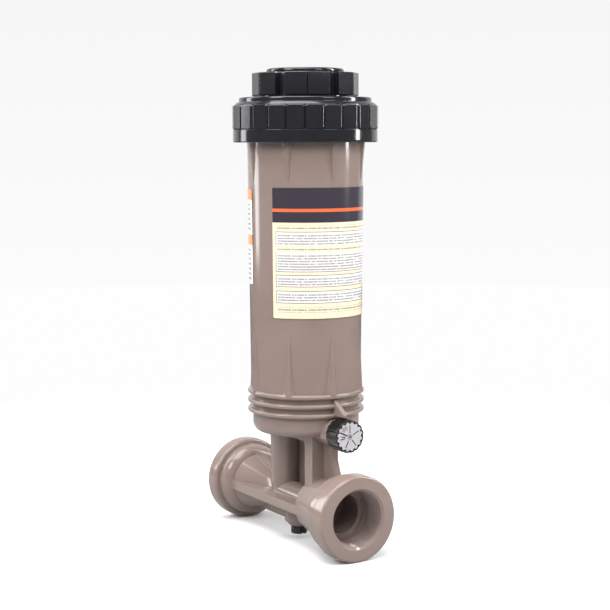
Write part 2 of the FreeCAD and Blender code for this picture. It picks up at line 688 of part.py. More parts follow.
def valve_bonnet():
    """Hexagon gland nut that holds the cage in its socket."""
    nose = rod_x(SOCKET_R - CAGE_GAP, BONNET_START, HEX_START + 0.5)
    corner = BONNET_HEX / 2 / math.cos(math.radians(30))
    points = []
    for i in range(6):
        turn = math.radians(60 * i + 30)
        points.append(at_chamber(HEX_START, corner * math.cos(turn), DIAL_Z + corner * math.sin(turn)))
    head = Part.Face(Part.makePolygon(points + points[:1])).extrude(X_AXIS * BONNET_HEX_LENGTH)
    chamfer = turned_along_flow([(0, 0, 0), (0, corner + 2, 0), (BONNET_HEX_LENGTH - 1, corner, 0),
                                 (BONNET_HEX_LENGTH, corner - 1.2, 0), (BONNET_HEX_LENGTH, 0, 0)])
    chamfer.translate(at_chamber(HEX_START, 0, DIAL_Z))
    bore = rod_x(SHAFT_R + STEM_GAP, BONNET_START - 1, HEX_START + BONNET_HEX_LENGTH + 1)
    groove = ring_groove(SOCKET_R - CAGE_GAP, BONNET_RING_SECTION, BONNET_START + 2)
    return nose.fuse(head.common(chamfer)).cut([bore, groove]).removeSplitter()


def bonnet_o_ring():
    """Seal between the bonnet and its socket."""
    return ring_x(SOCKET_R - BONNET_RING_SECTION - 0.02, BONNET_RING_SECTION, BONNET_START + 2)


def control_knob():
    """Fluted cup knob with a recess for the dial plate and a hub on the stem."""
    shell = turned_along_flow([(0, 0, 0), (0, KNOB_R, 0.5),
                               (KNOB_FACE - KNOB_BACK, KNOB_R, 0.8), (KNOB_FACE - KNOB_BACK, 0, 0)])
    shell.translate(at_chamber(KNOB_BACK, 0, DIAL_Z))
    hollow = tube_x(KNOB_R - KNOB_WALL, KNOB_HUB_R, KNOB_BACK - 1, KNOB_FACE - KNOB_FRONT)
    hollow = hollow.fuse(rod_x(KNOB_HUB_R + 1, KNOB_BACK - 1, KNOB_HUB_BACK))
    hollow = hollow.fuse(rod_x(BONNET_HEX / 2 / math.cos(math.radians(30)) + 0.6, KNOB_BACK - 1,
                               KNOB_HUB_BACK))
    socket = rod_x(SHAFT_R + 0.05, KNOB_BACK - 1, SHAFT_END + SEAT_GAP / 2)
    key = block(KNOB_HUB_BACK, SHAFT_END + 1, -SHAFT_R - 1, SHAFT_R + 1,
                DIAL_Z + SHAFT_R - SHAFT_FLAT + 0.05, DIAL_Z + SHAFT_R + 1)
    socket = socket.cut(key)
    recess = rod_x(PLATE_R + PLATE_GAP, KNOB_FACE - PLATE_THICK - PLATE_GAP, KNOB_FACE + 1)
    hole = rod_x(SCREW_R + 0.15, SHAFT_END - 1, KNOB_FACE + 1)
    sink = rod_x(SCREW_HEAD_R + 0.15, KNOB_FACE - SCREW_HEAD - PLATE_GAP, KNOB_FACE + 1)
    flute_z = DIAL_Z + KNOB_R + KNOB_FLUTE_R - KNOB_FLUTE_DEPTH
    flute = Part.makeCylinder(KNOB_FLUTE_R, KNOB_FACE - KNOB_BACK + 2,
                              at_chamber(KNOB_BACK - 1, 0, flute_z), X_AXIS)
    flutes = turn_copies(flute, KNOB_FLUTES, at_chamber(0, 0, DIAL_Z), X_AXIS)
    return shell.cut([hollow, socket, recess, hole, sink] + flutes).removeSplitter()


def dial_plate():
    """Thin notched dial set into the knob's face."""
    plate = rod_x(PLATE_R, KNOB_FACE - PLATE_THICK, KNOB_FACE)
    hole = rod_x(SCREW_HEAD_R + 0.15, KNOB_FACE - 2, KNOB_FACE + 1)
    notch = Part.makeCylinder(PLATE_NOTCH_R, 4, at_chamber(KNOB_FACE - 2, 0, DIAL_Z + PLATE_R), X_AXIS)
    return plate.cut([hole] + turn_copies(notch, KNOB_FLUTES, at_chamber(0, 0, DIAL_Z), X_AXIS))


def knob_screw():
    """Screw that holds the knob on the stem."""
    head = rod_x(SCREW_HEAD_R, KNOB_FACE - SCREW_HEAD, KNOB_FACE)
    shank = rod_x(SCREW_R, SHAFT_END - SCREW_LENGTH + 1, KNOB_FACE - SCREW_HEAD + 0.1)
    arm = block(KNOB_FACE - 0.7, KNOB_FACE + 1, -0.35, 0.35, DIAL_Z - 1.5, DIAL_Z + 1.5)
    arm.rotate(at_chamber(0, 0, DIAL_Z), X_AXIS, 45)
    return head.fuse(shank).cut(turn_copies(arm, 4, at_chamber(0, 0, DIAL_Z), X_AXIS)).removeSplitter()


def drain_plug():
    """Slotted plug with a short threaded shank."""
    shank_r = DRAIN_THREAD_R - DRAIN_THREAD_GAP
    outline = [(0, PLUG_HEAD_BOTTOM, 0), (PLUG_HEAD_R, PLUG_HEAD_BOTTOM, PLUG_EDGE),
               (PLUG_HEAD_R, PLUG_HEAD_TOP, 0.2), (shank_r, PLUG_HEAD_TOP, 0),
               (shank_r, PLUG_SHANK_TOP, PLUG_EDGE), (0, PLUG_SHANK_TOP, 0)]
    slot = block(DRAIN_X - PLUG_HEAD_R, DRAIN_X + PLUG_HEAD_R, -PLUG_SLOT_WIDTH / 2, PLUG_SLOT_WIDTH / 2,
                 PLUG_HEAD_BOTTOM - 1, PLUG_HEAD_BOTTOM + PLUG_SLOT_DEPTH)
    return turned_upright(outline, DRAIN_X).cut(slot).removeSplitter()


def drain_o_ring():
    """Seal under the plug's head."""
    shank_r = DRAIN_THREAD_R - DRAIN_THREAD_GAP
    height = PLUG_HEAD_TOP + DRAIN_RING_SECTION + 0.05
    return Part.makeTorus(shank_r + DRAIN_RING_SECTION + 0.1, DRAIN_RING_SECTION,
                          at_chamber(DRAIN_X, 0, height), Z_AXIS)


def pieces():
    """Every separate piece by its node name."""
    base, tube = base_and_tube()
    return {
        "feeder_body": base,
        "chamber_tube": tube,
        "front_label": wrapped_label(-FRONT_LABEL_ARC / 2, FRONT_LABEL_ARC,
                                     FRONT_LABEL_LOW, FRONT_LABEL_HIGH),
        "side_label": wrapped_label(SIDE_LABEL_START, SIDE_LABEL_ARC, SIDE_LABEL_LOW, SIDE_LABEL_HIGH),
        "tablet_grid": tablet_grid(),
        "cover": cover(),
        "cover_o_ring": cover_o_ring(),
        "lock_nut": lock_nut(),
        "valve_cage": valve_cage(),
        "cage_o_rings": cage_o_rings(),
        "valve_stem": valve_stem(),
        "stem_o_rings": stem_o_rings(),
        "valve_bonnet": valve_bonnet(),
        "bonnet_o_ring": bonnet_o_ring(),
        "control_knob": control_knob(),
        "dial_plate": dial_plate(),
        "knob_screw": knob_screw(),
        "drain_plug": drain_plug(),
        "drain_o_ring": drain_o_ring(),
    }


def write_parts():
    """Write one STEP file per piece."""
    os.makedirs("parts", exist_ok=True)
    for name, shape in pieces().items():
        shape.exportStep("parts/" + name + ".step")
        print(name, "solids", len(shape.Solids), "volume", round(shape.Volume), "valid", shape.isValid())


write_parts()
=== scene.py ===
import logging
import math
from dataclasses import dataclass, field
from enum import Enum
from typing import Callable, Optional, Sequence, Tuple

import bmesh
import bpy
import numpy as np
from mathutils import Matrix, Vector


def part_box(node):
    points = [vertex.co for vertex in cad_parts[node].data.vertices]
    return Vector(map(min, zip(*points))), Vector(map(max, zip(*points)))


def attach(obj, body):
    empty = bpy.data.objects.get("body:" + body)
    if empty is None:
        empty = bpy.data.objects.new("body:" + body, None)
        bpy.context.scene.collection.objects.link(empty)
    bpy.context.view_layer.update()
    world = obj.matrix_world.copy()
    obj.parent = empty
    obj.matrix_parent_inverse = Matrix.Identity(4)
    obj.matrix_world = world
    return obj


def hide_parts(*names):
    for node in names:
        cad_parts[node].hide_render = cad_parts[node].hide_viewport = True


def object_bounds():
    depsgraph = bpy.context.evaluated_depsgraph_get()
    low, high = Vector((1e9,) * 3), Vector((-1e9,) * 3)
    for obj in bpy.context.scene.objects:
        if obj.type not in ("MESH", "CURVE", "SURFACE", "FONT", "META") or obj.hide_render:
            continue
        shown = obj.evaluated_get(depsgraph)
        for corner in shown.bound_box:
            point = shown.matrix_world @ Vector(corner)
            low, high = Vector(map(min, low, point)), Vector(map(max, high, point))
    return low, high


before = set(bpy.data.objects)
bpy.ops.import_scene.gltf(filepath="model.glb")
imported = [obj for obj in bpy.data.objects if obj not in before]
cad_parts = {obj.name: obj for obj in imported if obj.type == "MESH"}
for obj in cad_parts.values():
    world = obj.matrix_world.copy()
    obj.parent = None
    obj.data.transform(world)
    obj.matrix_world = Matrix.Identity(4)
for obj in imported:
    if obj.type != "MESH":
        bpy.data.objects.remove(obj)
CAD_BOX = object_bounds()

"""Looks of an inline tablet chlorinator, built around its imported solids.

Sizes in the classes are millimetres, measured from the chamber's axis and from the height of
the pipe's axis, as in the part's own drawing. They become metres where a mesh is made.
"""

log = logging.getLogger("chlorinator")

MM = 0.001
TURN = 2.0 * math.pi
Colour = Tuple[float, float, float]


def chamber_axis_x() -> float:
    """Distance of the chamber's axis from the origin along X, in metres.

    Returns:
        The middle of the lock nut's box, which is turned about that axis.
    """
    low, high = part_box("lock_nut")
    return (low.x + high.x) / 2.0


AXIS_X = chamber_axis_x()


def srgb(red: int, green: int, blue: int) -> Colour:
    """Turns a display colour into the linear values that a shader takes.

    Args:
        red: Display value from 0 to 255.
        green: Display value from 0 to 255.
        blue: Display value from 0 to 255.

    Returns:
        The three linear values.
    """
    share = np.array([red, green, blue], float) / 255.0
    linear = np.where(share <= 0.04045, share / 12.92, ((share + 0.055) / 1.055) ** 2.4)
    return float(linear[0]), float(linear[1]), float(linear[2])


class Spin(Enum):
    """The line that a turned piece is turned about."""

    CHAMBER = "upright, through the middle of the chamber"
    DIAL = "along the flow, through the middle of the dial"
    PIPE = "along the flow, through the middle of the pipe"


class Body(Enum):
    """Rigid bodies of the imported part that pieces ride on."""

    CHAMBER = "chamber"
    COVER = "cover"
    LOCK_NUT = "lock_nut"
    DIAL = "dial"
    DRAIN_PLUG = "drain_plug"
    DRAIN_SEAL = "drain_seal"


@dataclass(frozen=True)
class Levels:
    """Heights that several pieces share, in millimetres above the pipe's axis."""

    dial: float = 68.8
    neck_foot: float = 322.2
    neck_top: float = 342.8
    neck_thread: float = 324.8


LEVELS = Levels()


def place(radius: np.ndarray, along: np.ndarray, angle: np.ndarray, spin: Spin) -> np.ndarray:
    """Puts cylindrical coordinates into the row frame.

    For an upright spin the point is (axis + r cos a, r sin a, along). For one along the flow
    it is (axis + along, r cos a, height + r sin a).

    Args:
        radius: Distances from the spin line, in millimetres.
        along: Distances along it, in millimetres.
        angle: Angles round it, in radians.
        spin: Which line.

    Returns:
        Points in metres, with x, y and z last.
    """
    radius, along, angle = np.broadcast_arrays(radius, along, angle)
    if spin is Spin.CHAMBER:
        parts = (AXIS_X + radius * np.cos(angle) * MM, radius * np.sin(angle) * MM, along * MM)
    else:
        height = LEVELS.dial if spin is Spin.DIAL else 0.0
        parts = (AXIS_X + along * MM, radius * np.cos(angle) * MM,
                 (height + radius * np.sin(angle)) * MM)
    return np.stack(parts, axis=-1)


def rounded(corners: Sequence[Tuple[float, float, float]], closed: bool = True,
            steps: int = 6) -> np.ndarray:
    """Replaces each corner of an outline by a tangent arc of its radius.

    Each arc is p(t) = centre + radius (cos t, sin t) between the feet of the perpendiculars
    from its centre to the two sides.

    Args:
        corners: (across, along, rounding) of each corner in order.
        closed: Whether the outline's ends meet.
        steps: Spans in each arc.

    Returns:
        The outline's points, one per row.
    """
    points = []
    count = len(corners)
    for i, (a, b, radius) in enumerate(corners):
        here = np.array([a, b], float)
        if radius <= 0 or (not closed and i in (0, count - 1)):
            points.append(here)
            continue
        before = np.array(corners[i - 1][:2], float) - here
        after = np.array(corners[(i + 1) % count][:2], float) - here
        before /= np.linalg.norm(before)
        after /= np.linalg.norm(after)
        half = math.acos(np.clip(before @ after, -1, 1)) / 2.0
        middle = (before + after) / np.linalg.norm(before + after)
        centre = here + middle * radius / math.sin(half)
        start = here + before * radius / math.tan(half) - centre
        end = here + after * radius / math.tan(half) - centre
        turn = math.atan2(start[0] * end[1] - start[1] * end[0], start @ end)
        angles = np.linspace(0, turn, steps + 1)
        cos, sin = np.cos(angles), np.sin(angles)
        arc = np.stack([start[0] * cos - start[1] * sin, start[0] * sin + start[1] * cos], axis=1)
        points.extend(centre + arc)
    return np.array(points)


def densified(outline: np.ndarray, longest: float, closed: bool = True) -> np.ndarray:
    """Divides the long spans of an outline so that none is longer than a limit.

    Args:
        outline: Points, one per row.
        longest: Longest span to leave, in the outline's own unit.
        closed: Whether the outline's ends meet.

    Returns:
        The outline with the added points.
    """
    ends = np.roll(outline, -1, axis=0) if closed else outline[1:]
    starts = outline if closed else outline[:-1]
    runs = []
    for start, end in zip(starts, ends):
        pieces = max(1, int(math.ceil(np.linalg.norm(end - start) / longest)))
        share = np.arange(pieces)[:, None] / pieces
        runs.append(start + (end - start) * share)
    if not closed:
        runs.append(outline[-1:])
    return np.concatenate(runs)


@dataclass
class Skin:
    """A surface of two parameters on a grid of points.

    Attributes:
        name: Name of the piece.
        points: Grid of points in metres, rows by columns by three.
        rows_meet: Whether the last row joins the first.
        columns_meet: Whether the last column joins the first.
        uv: Optional grid of surface coordinates, rows by columns by two.
        sharp: Angle in degrees above which an edge stays sharp.
    """

    name: str
    points: np.ndarray
    rows_meet: bool = False
    columns_meet: bool = False
    uv: Optional[np.ndarray] = None
    sharp: float = 32.0

    def quads(self) -> np.ndarray:
        """Corner numbers of every four-sided face of the grid."""
        rows, columns = self.points.shape[:2]
        index = np.arange(rows * columns).reshape(rows, columns)
        index = np.concatenate([index, index[:1]]) if self.rows_meet else index
        index = np.concatenate([index, index[:, :1]], axis=1) if self.columns_meet else index
        faces = np.stack([index[:-1, :-1], index[1:, :-1], index[1:, 1:], index[:-1, 1:]], axis=-1)
        return faces.reshape(-1, 4)

    def mesh(self) -> bpy.types.Mesh:
        """Writes the grid into a new mesh with outward faces and smooth shading.

        Returns:
            The mesh.
        """
        faces = self.quads()
        mesh = bpy.data.meshes.new(self.name)
        mesh.vertices.add(self.points.shape[0] * self.points.shape[1])
        mesh.vertices.foreach_set("co", self.points.astype(np.float32).ravel())
        mesh.loops.add(faces.size)
        mesh.loops.foreach_set("vertex_index", faces.astype(np.int32).ravel())
        mesh.polygons.add(len(faces))
        mesh.polygons.foreach_set("loop_start", np.arange(0, faces.size, 4, dtype=np.int32))
        mesh.update(calc_edges=True)
        if self.uv is not None:
            layer = mesh.uv_layers.new(name="wrap")
            corners = self.uv.reshape(-1, 2)[faces.ravel()]
            layer.data.foreach_set("uv", corners.astype(np.float32).ravel())
        seal(mesh, self.rows_meet or self.columns_meet)
        soften(mesh, self.sharp)
        return mesh


def seal(mesh: bpy.types.Mesh, outward: bool = True, reach: float = 1e-7) -> None:
    """Merges points that coincide and turns the faces of a closed shape outwards.

    Args:
        mesh: Mesh to change.
        outward: Whether the shape is closed, so that its faces can be turned outwards.
        reach: Distance in metres within which points are one.
    """
    work = bmesh.new()
    work.from_mesh(mesh)
    bmesh.ops.remove_doubles(work, verts=work.verts, dist=reach)
    if outward:
        bmesh.ops.recalc_face_normals(work, faces=work.faces)
    work.to_mesh(mesh)
    work.free()


def soften(mesh: bpy.types.Mesh, sharp: float) -> None:
    """Shades a mesh smooth, apart from its edges above an angle in degrees."""
    mesh.shade_smooth()
    mesh.set_sharp_from_angle(angle=math.radians(sharp))


def join_skins(name: str, meshes: Sequence[bpy.types.Mesh]) -> bpy.types.Mesh:
    """Puts several meshes together in one and removes the single ones.

    Args:
        name: Name of the joined mesh.
        meshes: Meshes to join.

    Returns:
        The joined mesh.
    """
    work = bmesh.new()
    for mesh in meshes:
        work.from_mesh(mesh)
    joined = bpy.data.meshes.new(name)
    work.to_mesh(joined)
    work.free()
    for mesh in meshes:
        bpy.data.meshes.remove(mesh)
    return joined


class NodeSheet:
    """Short ways to lay out one material's nodes."""

    def __init__(self, tree: bpy.types.NodeTree) -> None:
        """Starts an empty sheet on a node tree."""
        self.tree = tree
        tree.nodes.clear()

    def add(self, kind: str, inputs: Optional[dict] = None, **settings) -> bpy.types.Node:
        """Adds a node, and fills or links its inputs.

        Args:
            kind: Blender's name of the node type.
            inputs: Value or socket for each input name or number.
            settings: Properties of the node.

        Returns:
            The node.
        """
        node = self.tree.nodes.new(kind)
        for key, value in settings.items():
            setattr(node, key, value)
        for key, value in (inputs or {}).items():
            if isinstance(value, bpy.types.NodeSocket):
                self.tree.links.new(value, node.inputs[key])
            else:
                node.inputs[key].default_value = value
        return node

    def sum(self, kind: str, *values) -> bpy.types.NodeSocket:
        """Result of a Math node on values or sockets; kind is its operation."""
        inputs = {i: value for i, value in enumerate(values)}
        return self.add("ShaderNodeMath", inputs, operation=kind).outputs[0]

    def noise(self, scale: float, detail: float = 3.0, vector=None) -> bpy.types.NodeSocket:
        """Grey value of a Noise Texture on Object coordinates or on the vector given."""
        vector = vector or self.object_place()
        node = self.add("ShaderNodeTexNoise", {"Vector": vector, "Scale": scale, "Detail": detail})
        return node.outputs["Fac"]

    def object_place(self) -> bpy.types.NodeSocket:
        """The Object output of one Texture Coordinate node."""
        return self.add("ShaderNodeTexCoord").outputs["Object"]

    def spread(self, value, low: float, high: float) -> bpy.types.NodeSocket:
        """Maps a value of 0.3 to 0.7, a noise's usual range, onto low to high."""
        inputs = {"Value": value, "From Min": 0.3, "From Max": 0.7, "To Min": low, "To Max": high}
        return self.add("ShaderNodeMapRange", inputs).outputs["Result"]

    def blend(self, share, first, second) -> bpy.types.NodeSocket:
        """Colour between two, by a share from 0 to 1."""
        node = self.add("ShaderNodeMix", data_type="RGBA")
        pairs = ((0, share), (6, first), (7, second))
        for slot, value in pairs:
            if isinstance(value, bpy.types.NodeSocket):
                self.tree.links.new(value, node.inputs[slot])
            elif slot == 0:
                node.inputs[slot].default_value = value
            else:
                node.inputs[slot].default_value = (*value, 1.0)
        return node.outputs[2]

    def relief(self, height, depth: float, rounding: float = 0.0) -> bpy.types.NodeSocket:
        """Normal with a fine relief, over edges that are rounded by a small radius.

        Args:
            height: Socket with the relief's height, 0 to 1.
            depth: Real depth of the relief in metres.
            rounding: Radius in metres of the look of rounded edges, or 0.

        Returns:
            The normal's socket.
        """
        inputs = {"Height": height, "Distance": depth, "Strength": 1.0}
        if rounding > 0:
            bevel = self.add("ShaderNodeBevel", {"Radius": rounding}, samples=6)
            inputs["Normal"] = bevel.outputs["Normal"]
        return self.add("ShaderNodeBump", inputs).outputs["Normal"]

    def output(self, shader: bpy.types.NodeSocket) -> None:
        """Ends the sheet with the material's output."""
        self.add("ShaderNodeOutputMaterial", {"Surface": shader})

    def output_world(self, shader: bpy.types.NodeSocket) -> None:
        """Ends the sheet with the surrounding's output."""
        self.add("ShaderNodeOutputWorld", {"Surface": shader})


@dataclass(frozen=True)
class Finish:
    """A moulded, painted or metal surface with its own grain.

    Attributes:
        name: Name of the material.
        colour: Main linear colour.
        shade: Second colour that broad faint clouds lead towards.
        roughness: Middle roughness.
        swing: How far the roughness wanders either way.
        cloud: Scale of the clouds, per metre.
        grain: Scale of the fine relief, per metre.
        grain_depth: Depth of the fine relief in metres.
        rounding: Radius of the look of rounded edges in metres.
        metallic: 1 for bare metal.
    """

    name: str
    colour: Colour
    shade: Colour
    roughness: float
    swing: float = 0.04
    cloud: float = 45.0
    grain: float = 900.0
    grain_depth: float = 0.00001
    rounding: float = 0.0
    metallic: float = 0.0

    def material(self) -> bpy.types.Material:
        """Builds the material, or hands back the one already built."""
        found = bpy.data.materials.get(self.name)
        if found:
            return found
        made = bpy.data.materials.new(self.name)
        made.use_nodes = True
        sheet = NodeSheet(made.node_tree)
        clouds = sheet.noise(self.cloud, 4.0)
        fine = sheet.noise(self.grain, 2.0)
        base = sheet.blend(sheet.spread(clouds, 0.0, 1.0), self.colour, self.shade)
        self.shader(sheet, base, fine)
        return made

    def shader(self, sheet: NodeSheet, base: bpy.types.NodeSocket,
               fine: bpy.types.NodeSocket) -> None:
        """Finishes a sheet with this surface's gloss and relief over a base colour."""
        low, high = self.roughness - self.swing, self.roughness + self.swing
        uneven = sheet.spread(sheet.noise(self.cloud * 3.0, 3.0), low, high)
        normal = sheet.relief(fine, self.grain_depth, self.rounding)
        inputs = {"Base Color": base, "Roughness": uneven, "Metallic": self.metallic,
                  "Normal": normal}
        sheet.output(sheet.add("ShaderNodeBsdfPrincipled", inputs).outputs[0])


class Finishes(Enum):
    """Every finish of the chlorinator."""

    HOUSING = Finish("housing_plastic", srgb(138, 121, 114), srgb(132, 116, 109), 0.14, 0.025,
                     cloud=30.0, grain=1400.0, grain_depth=0.000008, rounding=0.0008)
    CAP = Finish("cap_gloss", srgb(23, 22, 26), srgb(28, 27, 32), 0.12, 0.02,
                 cloud=60.0, grain=900.0, grain_depth=0.000005, rounding=0.0004)
    KNOB = Finish("knob_plastic", srgb(17, 17, 18), srgb(24, 24, 25), 0.24, 0.05,
                  cloud=150.0, grain=2600.0, grain_depth=0.00001, rounding=0.0003)
    VALVE = Finish("valve_plastic", srgb(34, 34, 36), srgb(44, 44, 46), 0.38, 0.05,
                   cloud=150.0, grain=2600.0, grain_depth=0.00001, rounding=0.0003)
    SEAL = Finish("seal_rubber", srgb(24, 24, 25), srgb(34, 34, 35), 0.62, 0.08,
                  cloud=200.0, grain=3000.0, grain_depth=0.00002)
    GRID = Finish("grid_plastic", srgb(126, 116, 108), srgb(112, 102, 95), 0.5, 0.06,
                  cloud=90.0, grain=2200.0, grain_depth=0.00001, rounding=0.0003)
    SCREW = Finish("screw_steel", srgb(196, 196, 198), srgb(170, 170, 173), 0.34, 0.08,
                   cloud=500.0, grain=4000.0, grain_depth=0.00001, metallic=1.0)
    INK = Finish("dial_ink", srgb(24, 24, 26), srgb(34, 34, 36), 0.5, 0.05,
                 cloud=600.0, grain=5000.0, grain_depth=0.000004)
    FAINT_INK = Finish("dial_faint_ink", srgb(150, 150, 154), srgb(168, 168, 172), 0.5, 0.05,
                       cloud=600.0, grain=5000.0, grain_depth=0.000004)
    DIAL = Finish("dial_plate_plastic", srgb(184, 181, 184), srgb(174, 171, 175), 0.35, 0.05,
                  cloud=260.0, grain=3000.0, grain_depth=0.000006, rounding=0.0002)

    @property
    def material(self) -> bpy.types.Material:
        """The material of this finish."""
        return self.value.material()


@dataclass(frozen=True)
class PrintRow:
    """One field of a printed label, in millimetres from its lower left corner.

    Attributes:
        left: Left edge.
        right: Right edge.
        low: Lower edge.
        high: Upper edge.
        colour: Fill.
        line: Width of a dark outline, or 0.
        text_pitch: Distance between its rows of grey type-like dashes, or 0.
    """

    left: float
    right: float
    low: float
    high: float
    colour: Colour
    line: float = 0.0
    text_pitch: float = 0.0


@dataclass(frozen=True)
class PrintedFilm:
    """A printed label film: fields of colour, laid one over another by surface coordinates.

    Attributes:
        name: Name of the material.
        paper: Colour of the bare film.
        type_ink: Colour of the dashes.
        frame_ink: Colour of the outlines.
        rows: Printed fields, lowest layer first.
    """

    name: str
    paper: Colour
    type_ink: Colour
    frame_ink: Colour
    rows: Tuple[PrintRow, ...]

    def inside(self, sheet: NodeSheet, across, up, row: PrintRow,
               inset: float) -> bpy.types.NodeSocket:
        """Share 1 inside a field's rectangle drawn in by an inset, and 0 outside it."""
        right = sheet.sum("LESS_THAN", across, row.right - inset)
        left = sheet.sum("GREATER_THAN", across, row.left + inset)
        high = sheet.sum("LESS_THAN", up, row.high - inset)
        low = sheet.sum("GREATER_THAN", up, row.low + inset)
        return sheet.sum("MULTIPLY", sheet.sum("MULTIPLY", left, right),
                         sheet.sum("MULTIPLY", low, high))

    def dashes(self, sheet: NodeSheet, across, up, row: PrintRow) -> bpy.types.NodeSocket:
        """Rows of dashes of uneven length, as print looks from a step away.

        The share is 1 where the height within a row is under its type size and a coarse random
        value of the place along the row, drawn anew for each row, is over a limit.
        """
        steps = sheet.sum("DIVIDE", sheet.sum("SUBTRACT", row.high, up), row.text_pitch)
        number = sheet.sum("FLOOR", steps)
        within = sheet.sum("SUBTRACT", steps, number)
        body = sheet.sum("MULTIPLY", sheet.sum("GREATER_THAN", within, 0.22),
                         sheet.sum("LESS_THAN", within, 0.74))
        spot = sheet.add("ShaderNodeCombineXYZ",
                         {0: sheet.sum("MULTIPLY", across, 1.0), 1: sheet.sum("MULTIPLY", number, 13.7)})
        words = sheet.noise(0.5, 1.0, spot.outputs[0])
        letters = sheet.noise(2.6, 1.0, spot.outputs[0])
        gaps = sheet.sum("MULTIPLY", sheet.sum("GREATER_THAN", words, 0.36),
                         sheet.sum("GREATER_THAN", letters, 0.36))
        return sheet.sum("MULTIPLY", body, gaps)

    def material(self) -> bpy.types.Material:
        """Builds the material of the printed film."""
        made = bpy.data.materials.new(self.name)
        made.use_nodes = True
        sheet = NodeSheet(made.node_tree)
        wrap = sheet.add("ShaderNodeUVMap", uv_map="wrap").outputs["UV"]
        split = sheet.add("ShaderNodeSeparateXYZ", {0: wrap})
        across = sheet.sum("MULTIPLY", split.outputs[0], 1000.0)
        up = sheet.sum("MULTIPLY", split.outputs[1], 1000.0)
        colour = sheet.blend(sheet.spread(sheet.noise(160.0, 3.0), 0.0, 0.35), self.paper,
                             tuple(0.9 * c for c in self.paper))
        for row in self.rows:
            area = self.inside(sheet, across, up, row, 0.0)
            fill = row.colour
            if row.line > 0:
                core = self.inside(sheet, across, up, row, row.line)
                fill = sheet.blend(core, self.frame_ink, row.colour)
            if row.text_pitch > 0:
                inner = self.inside(sheet, across, up, row, 1.6)
                share = sheet.sum("MULTIPLY", inner, self.dashes(sheet, across, up, row))
                fill = sheet.blend(share, fill, self.type_ink)
            colour = sheet.blend(area, colour, fill)
        film = Finish(self.name, self.paper, self.paper, 0.16, 0.01, cloud=12.0, grain=1600.0,
                      grain_depth=0.000002)
        film.shader(sheet, colour, sheet.noise(film.grain, 2.0))
        return made


class Dresser:
    """Puts meshes into the scene as pieces of the chlorinator."""

    def piece(self, name: str, mesh: bpy.types.Mesh, material: bpy.types.Material, body: Body,
              stands_for: Sequence[str] = ()) -> bpy.types.Object:
        """Makes a piece from a mesh, with its place in its mesh.

        Args:
            name: Name of the piece.
            mesh: Its mesh, in metres in the row frame.
            material: What it is made of.
            body: Rigid body that it rides on.
            stands_for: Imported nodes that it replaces.

        Returns:
            The new object.
        """
        made = bpy.data.objects.new(name, mesh)
        bpy.context.scene.collection.objects.link(made)
        made.data.materials.clear()
        made.data.materials.append(material)
        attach(made, body.value)
        if stands_for:
            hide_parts(*stands_for)
        log.info("%s: %d faces on %s", name, len(mesh.polygons), body.value)
        return made

    def dress_node(self, node: str, finish: Finishes) -> None:
        """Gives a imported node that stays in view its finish."""
        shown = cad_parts[node]
        shown.data.materials.clear()
        shown.data.materials.append(finish.material)
        log.info("%s: packed solid in %s", node, finish.value.name)

    def merged_copy(self, node: str, sharp: float) -> bpy.types.Mesh:
        """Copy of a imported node's mesh with its triangles joined and smoothly shaded.

        Args:
            node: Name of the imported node.
            sharp: Angle in degrees above which an edge stays sharp.

        Returns:
            The copy.
        """
        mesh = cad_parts[node].data.copy()
        mesh.name = node + "_smooth"
        if mesh.has_custom_normals:
            mesh.attributes.remove(mesh.attributes["custom_normal"])
        seal(mesh, outward=False, reach=2e-6)
        soften(mesh, sharp)
        return mesh

    def smooth_node(self, node: str, name: str, finish: Finishes, body: Body,
                    sharp: float = 30.0) -> None:
        """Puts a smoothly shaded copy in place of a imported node.

        Args:
            node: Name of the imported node.
            name: Name of the piece.
            finish: What it is made of.
            body: Rigid body that it rides on.
            sharp: Angle in degrees above which an edge stays sharp.
        """
        self.piece(name, self.merged_copy(node, sharp), finish.material, body, [node])


DRESSER = Dresser()


@dataclass
class HelicalThread:
    """A screw thread drawn as one ridge that winds along a cylinder.

    The ridge's section is a trapezium. Its place is (r, along + pitch a / 2 pi, a), and its
    height fades to nothing over part of a turn at both ends.

    Attributes:
        wall: Radius of the cylinder in millimetres.
        height: Height of the ridge; negative for a thread that points inwards.
        pitch: Rise per turn.
        start: Place along the cylinder where the ridge's middle starts.
        turns: Number of turns.
        spin: Line that it winds about.
        foot_share: Width of the ridge's foot, as a share of the pitch.
        crest_share: Width of its crest, as a share of the pitch.
        fade: Part of a turn over which it fades at both ends.
    """

    wall: float
    height: float
    pitch: float
    start: float
    turns: float
    spin: Spin = Spin.CHAMBER
    foot_share: float = 0.62
    crest_share: float = 0.26
    fade: float = 0.5

    def skin(self, name: str) -> Skin:
        """Surface of the ridge, with columns round its section."""
        count = int(self.turns * 96) + 1
        angle = np.linspace(0.0, self.turns * TURN, count)[:, None]
        ends = np.minimum(angle, angle[-1] - angle) / (self.fade * TURN)
        rise = np.clip(ends, 0.0, 1.0) ** 0.5
        half = self.pitch / 2.0
        side = np.array([-self.foot_share, -self.crest_share, self.crest_share, self.foot_share]) * half
        crest = np.array([0.0, 1.0, 1.0, 0.0])
        sunk = -math.copysign(0.15, self.height)
        along = self.start + self.pitch * angle / TURN + side[None, :] * (0.25 + 0.75 * rise)
        lift = np.where(crest > 0, self.height * rise, sunk)
        points = place(self.wall + lift, along, angle, self.spin)
        return Skin(name, points, columns_meet=True, sharp=25.0)


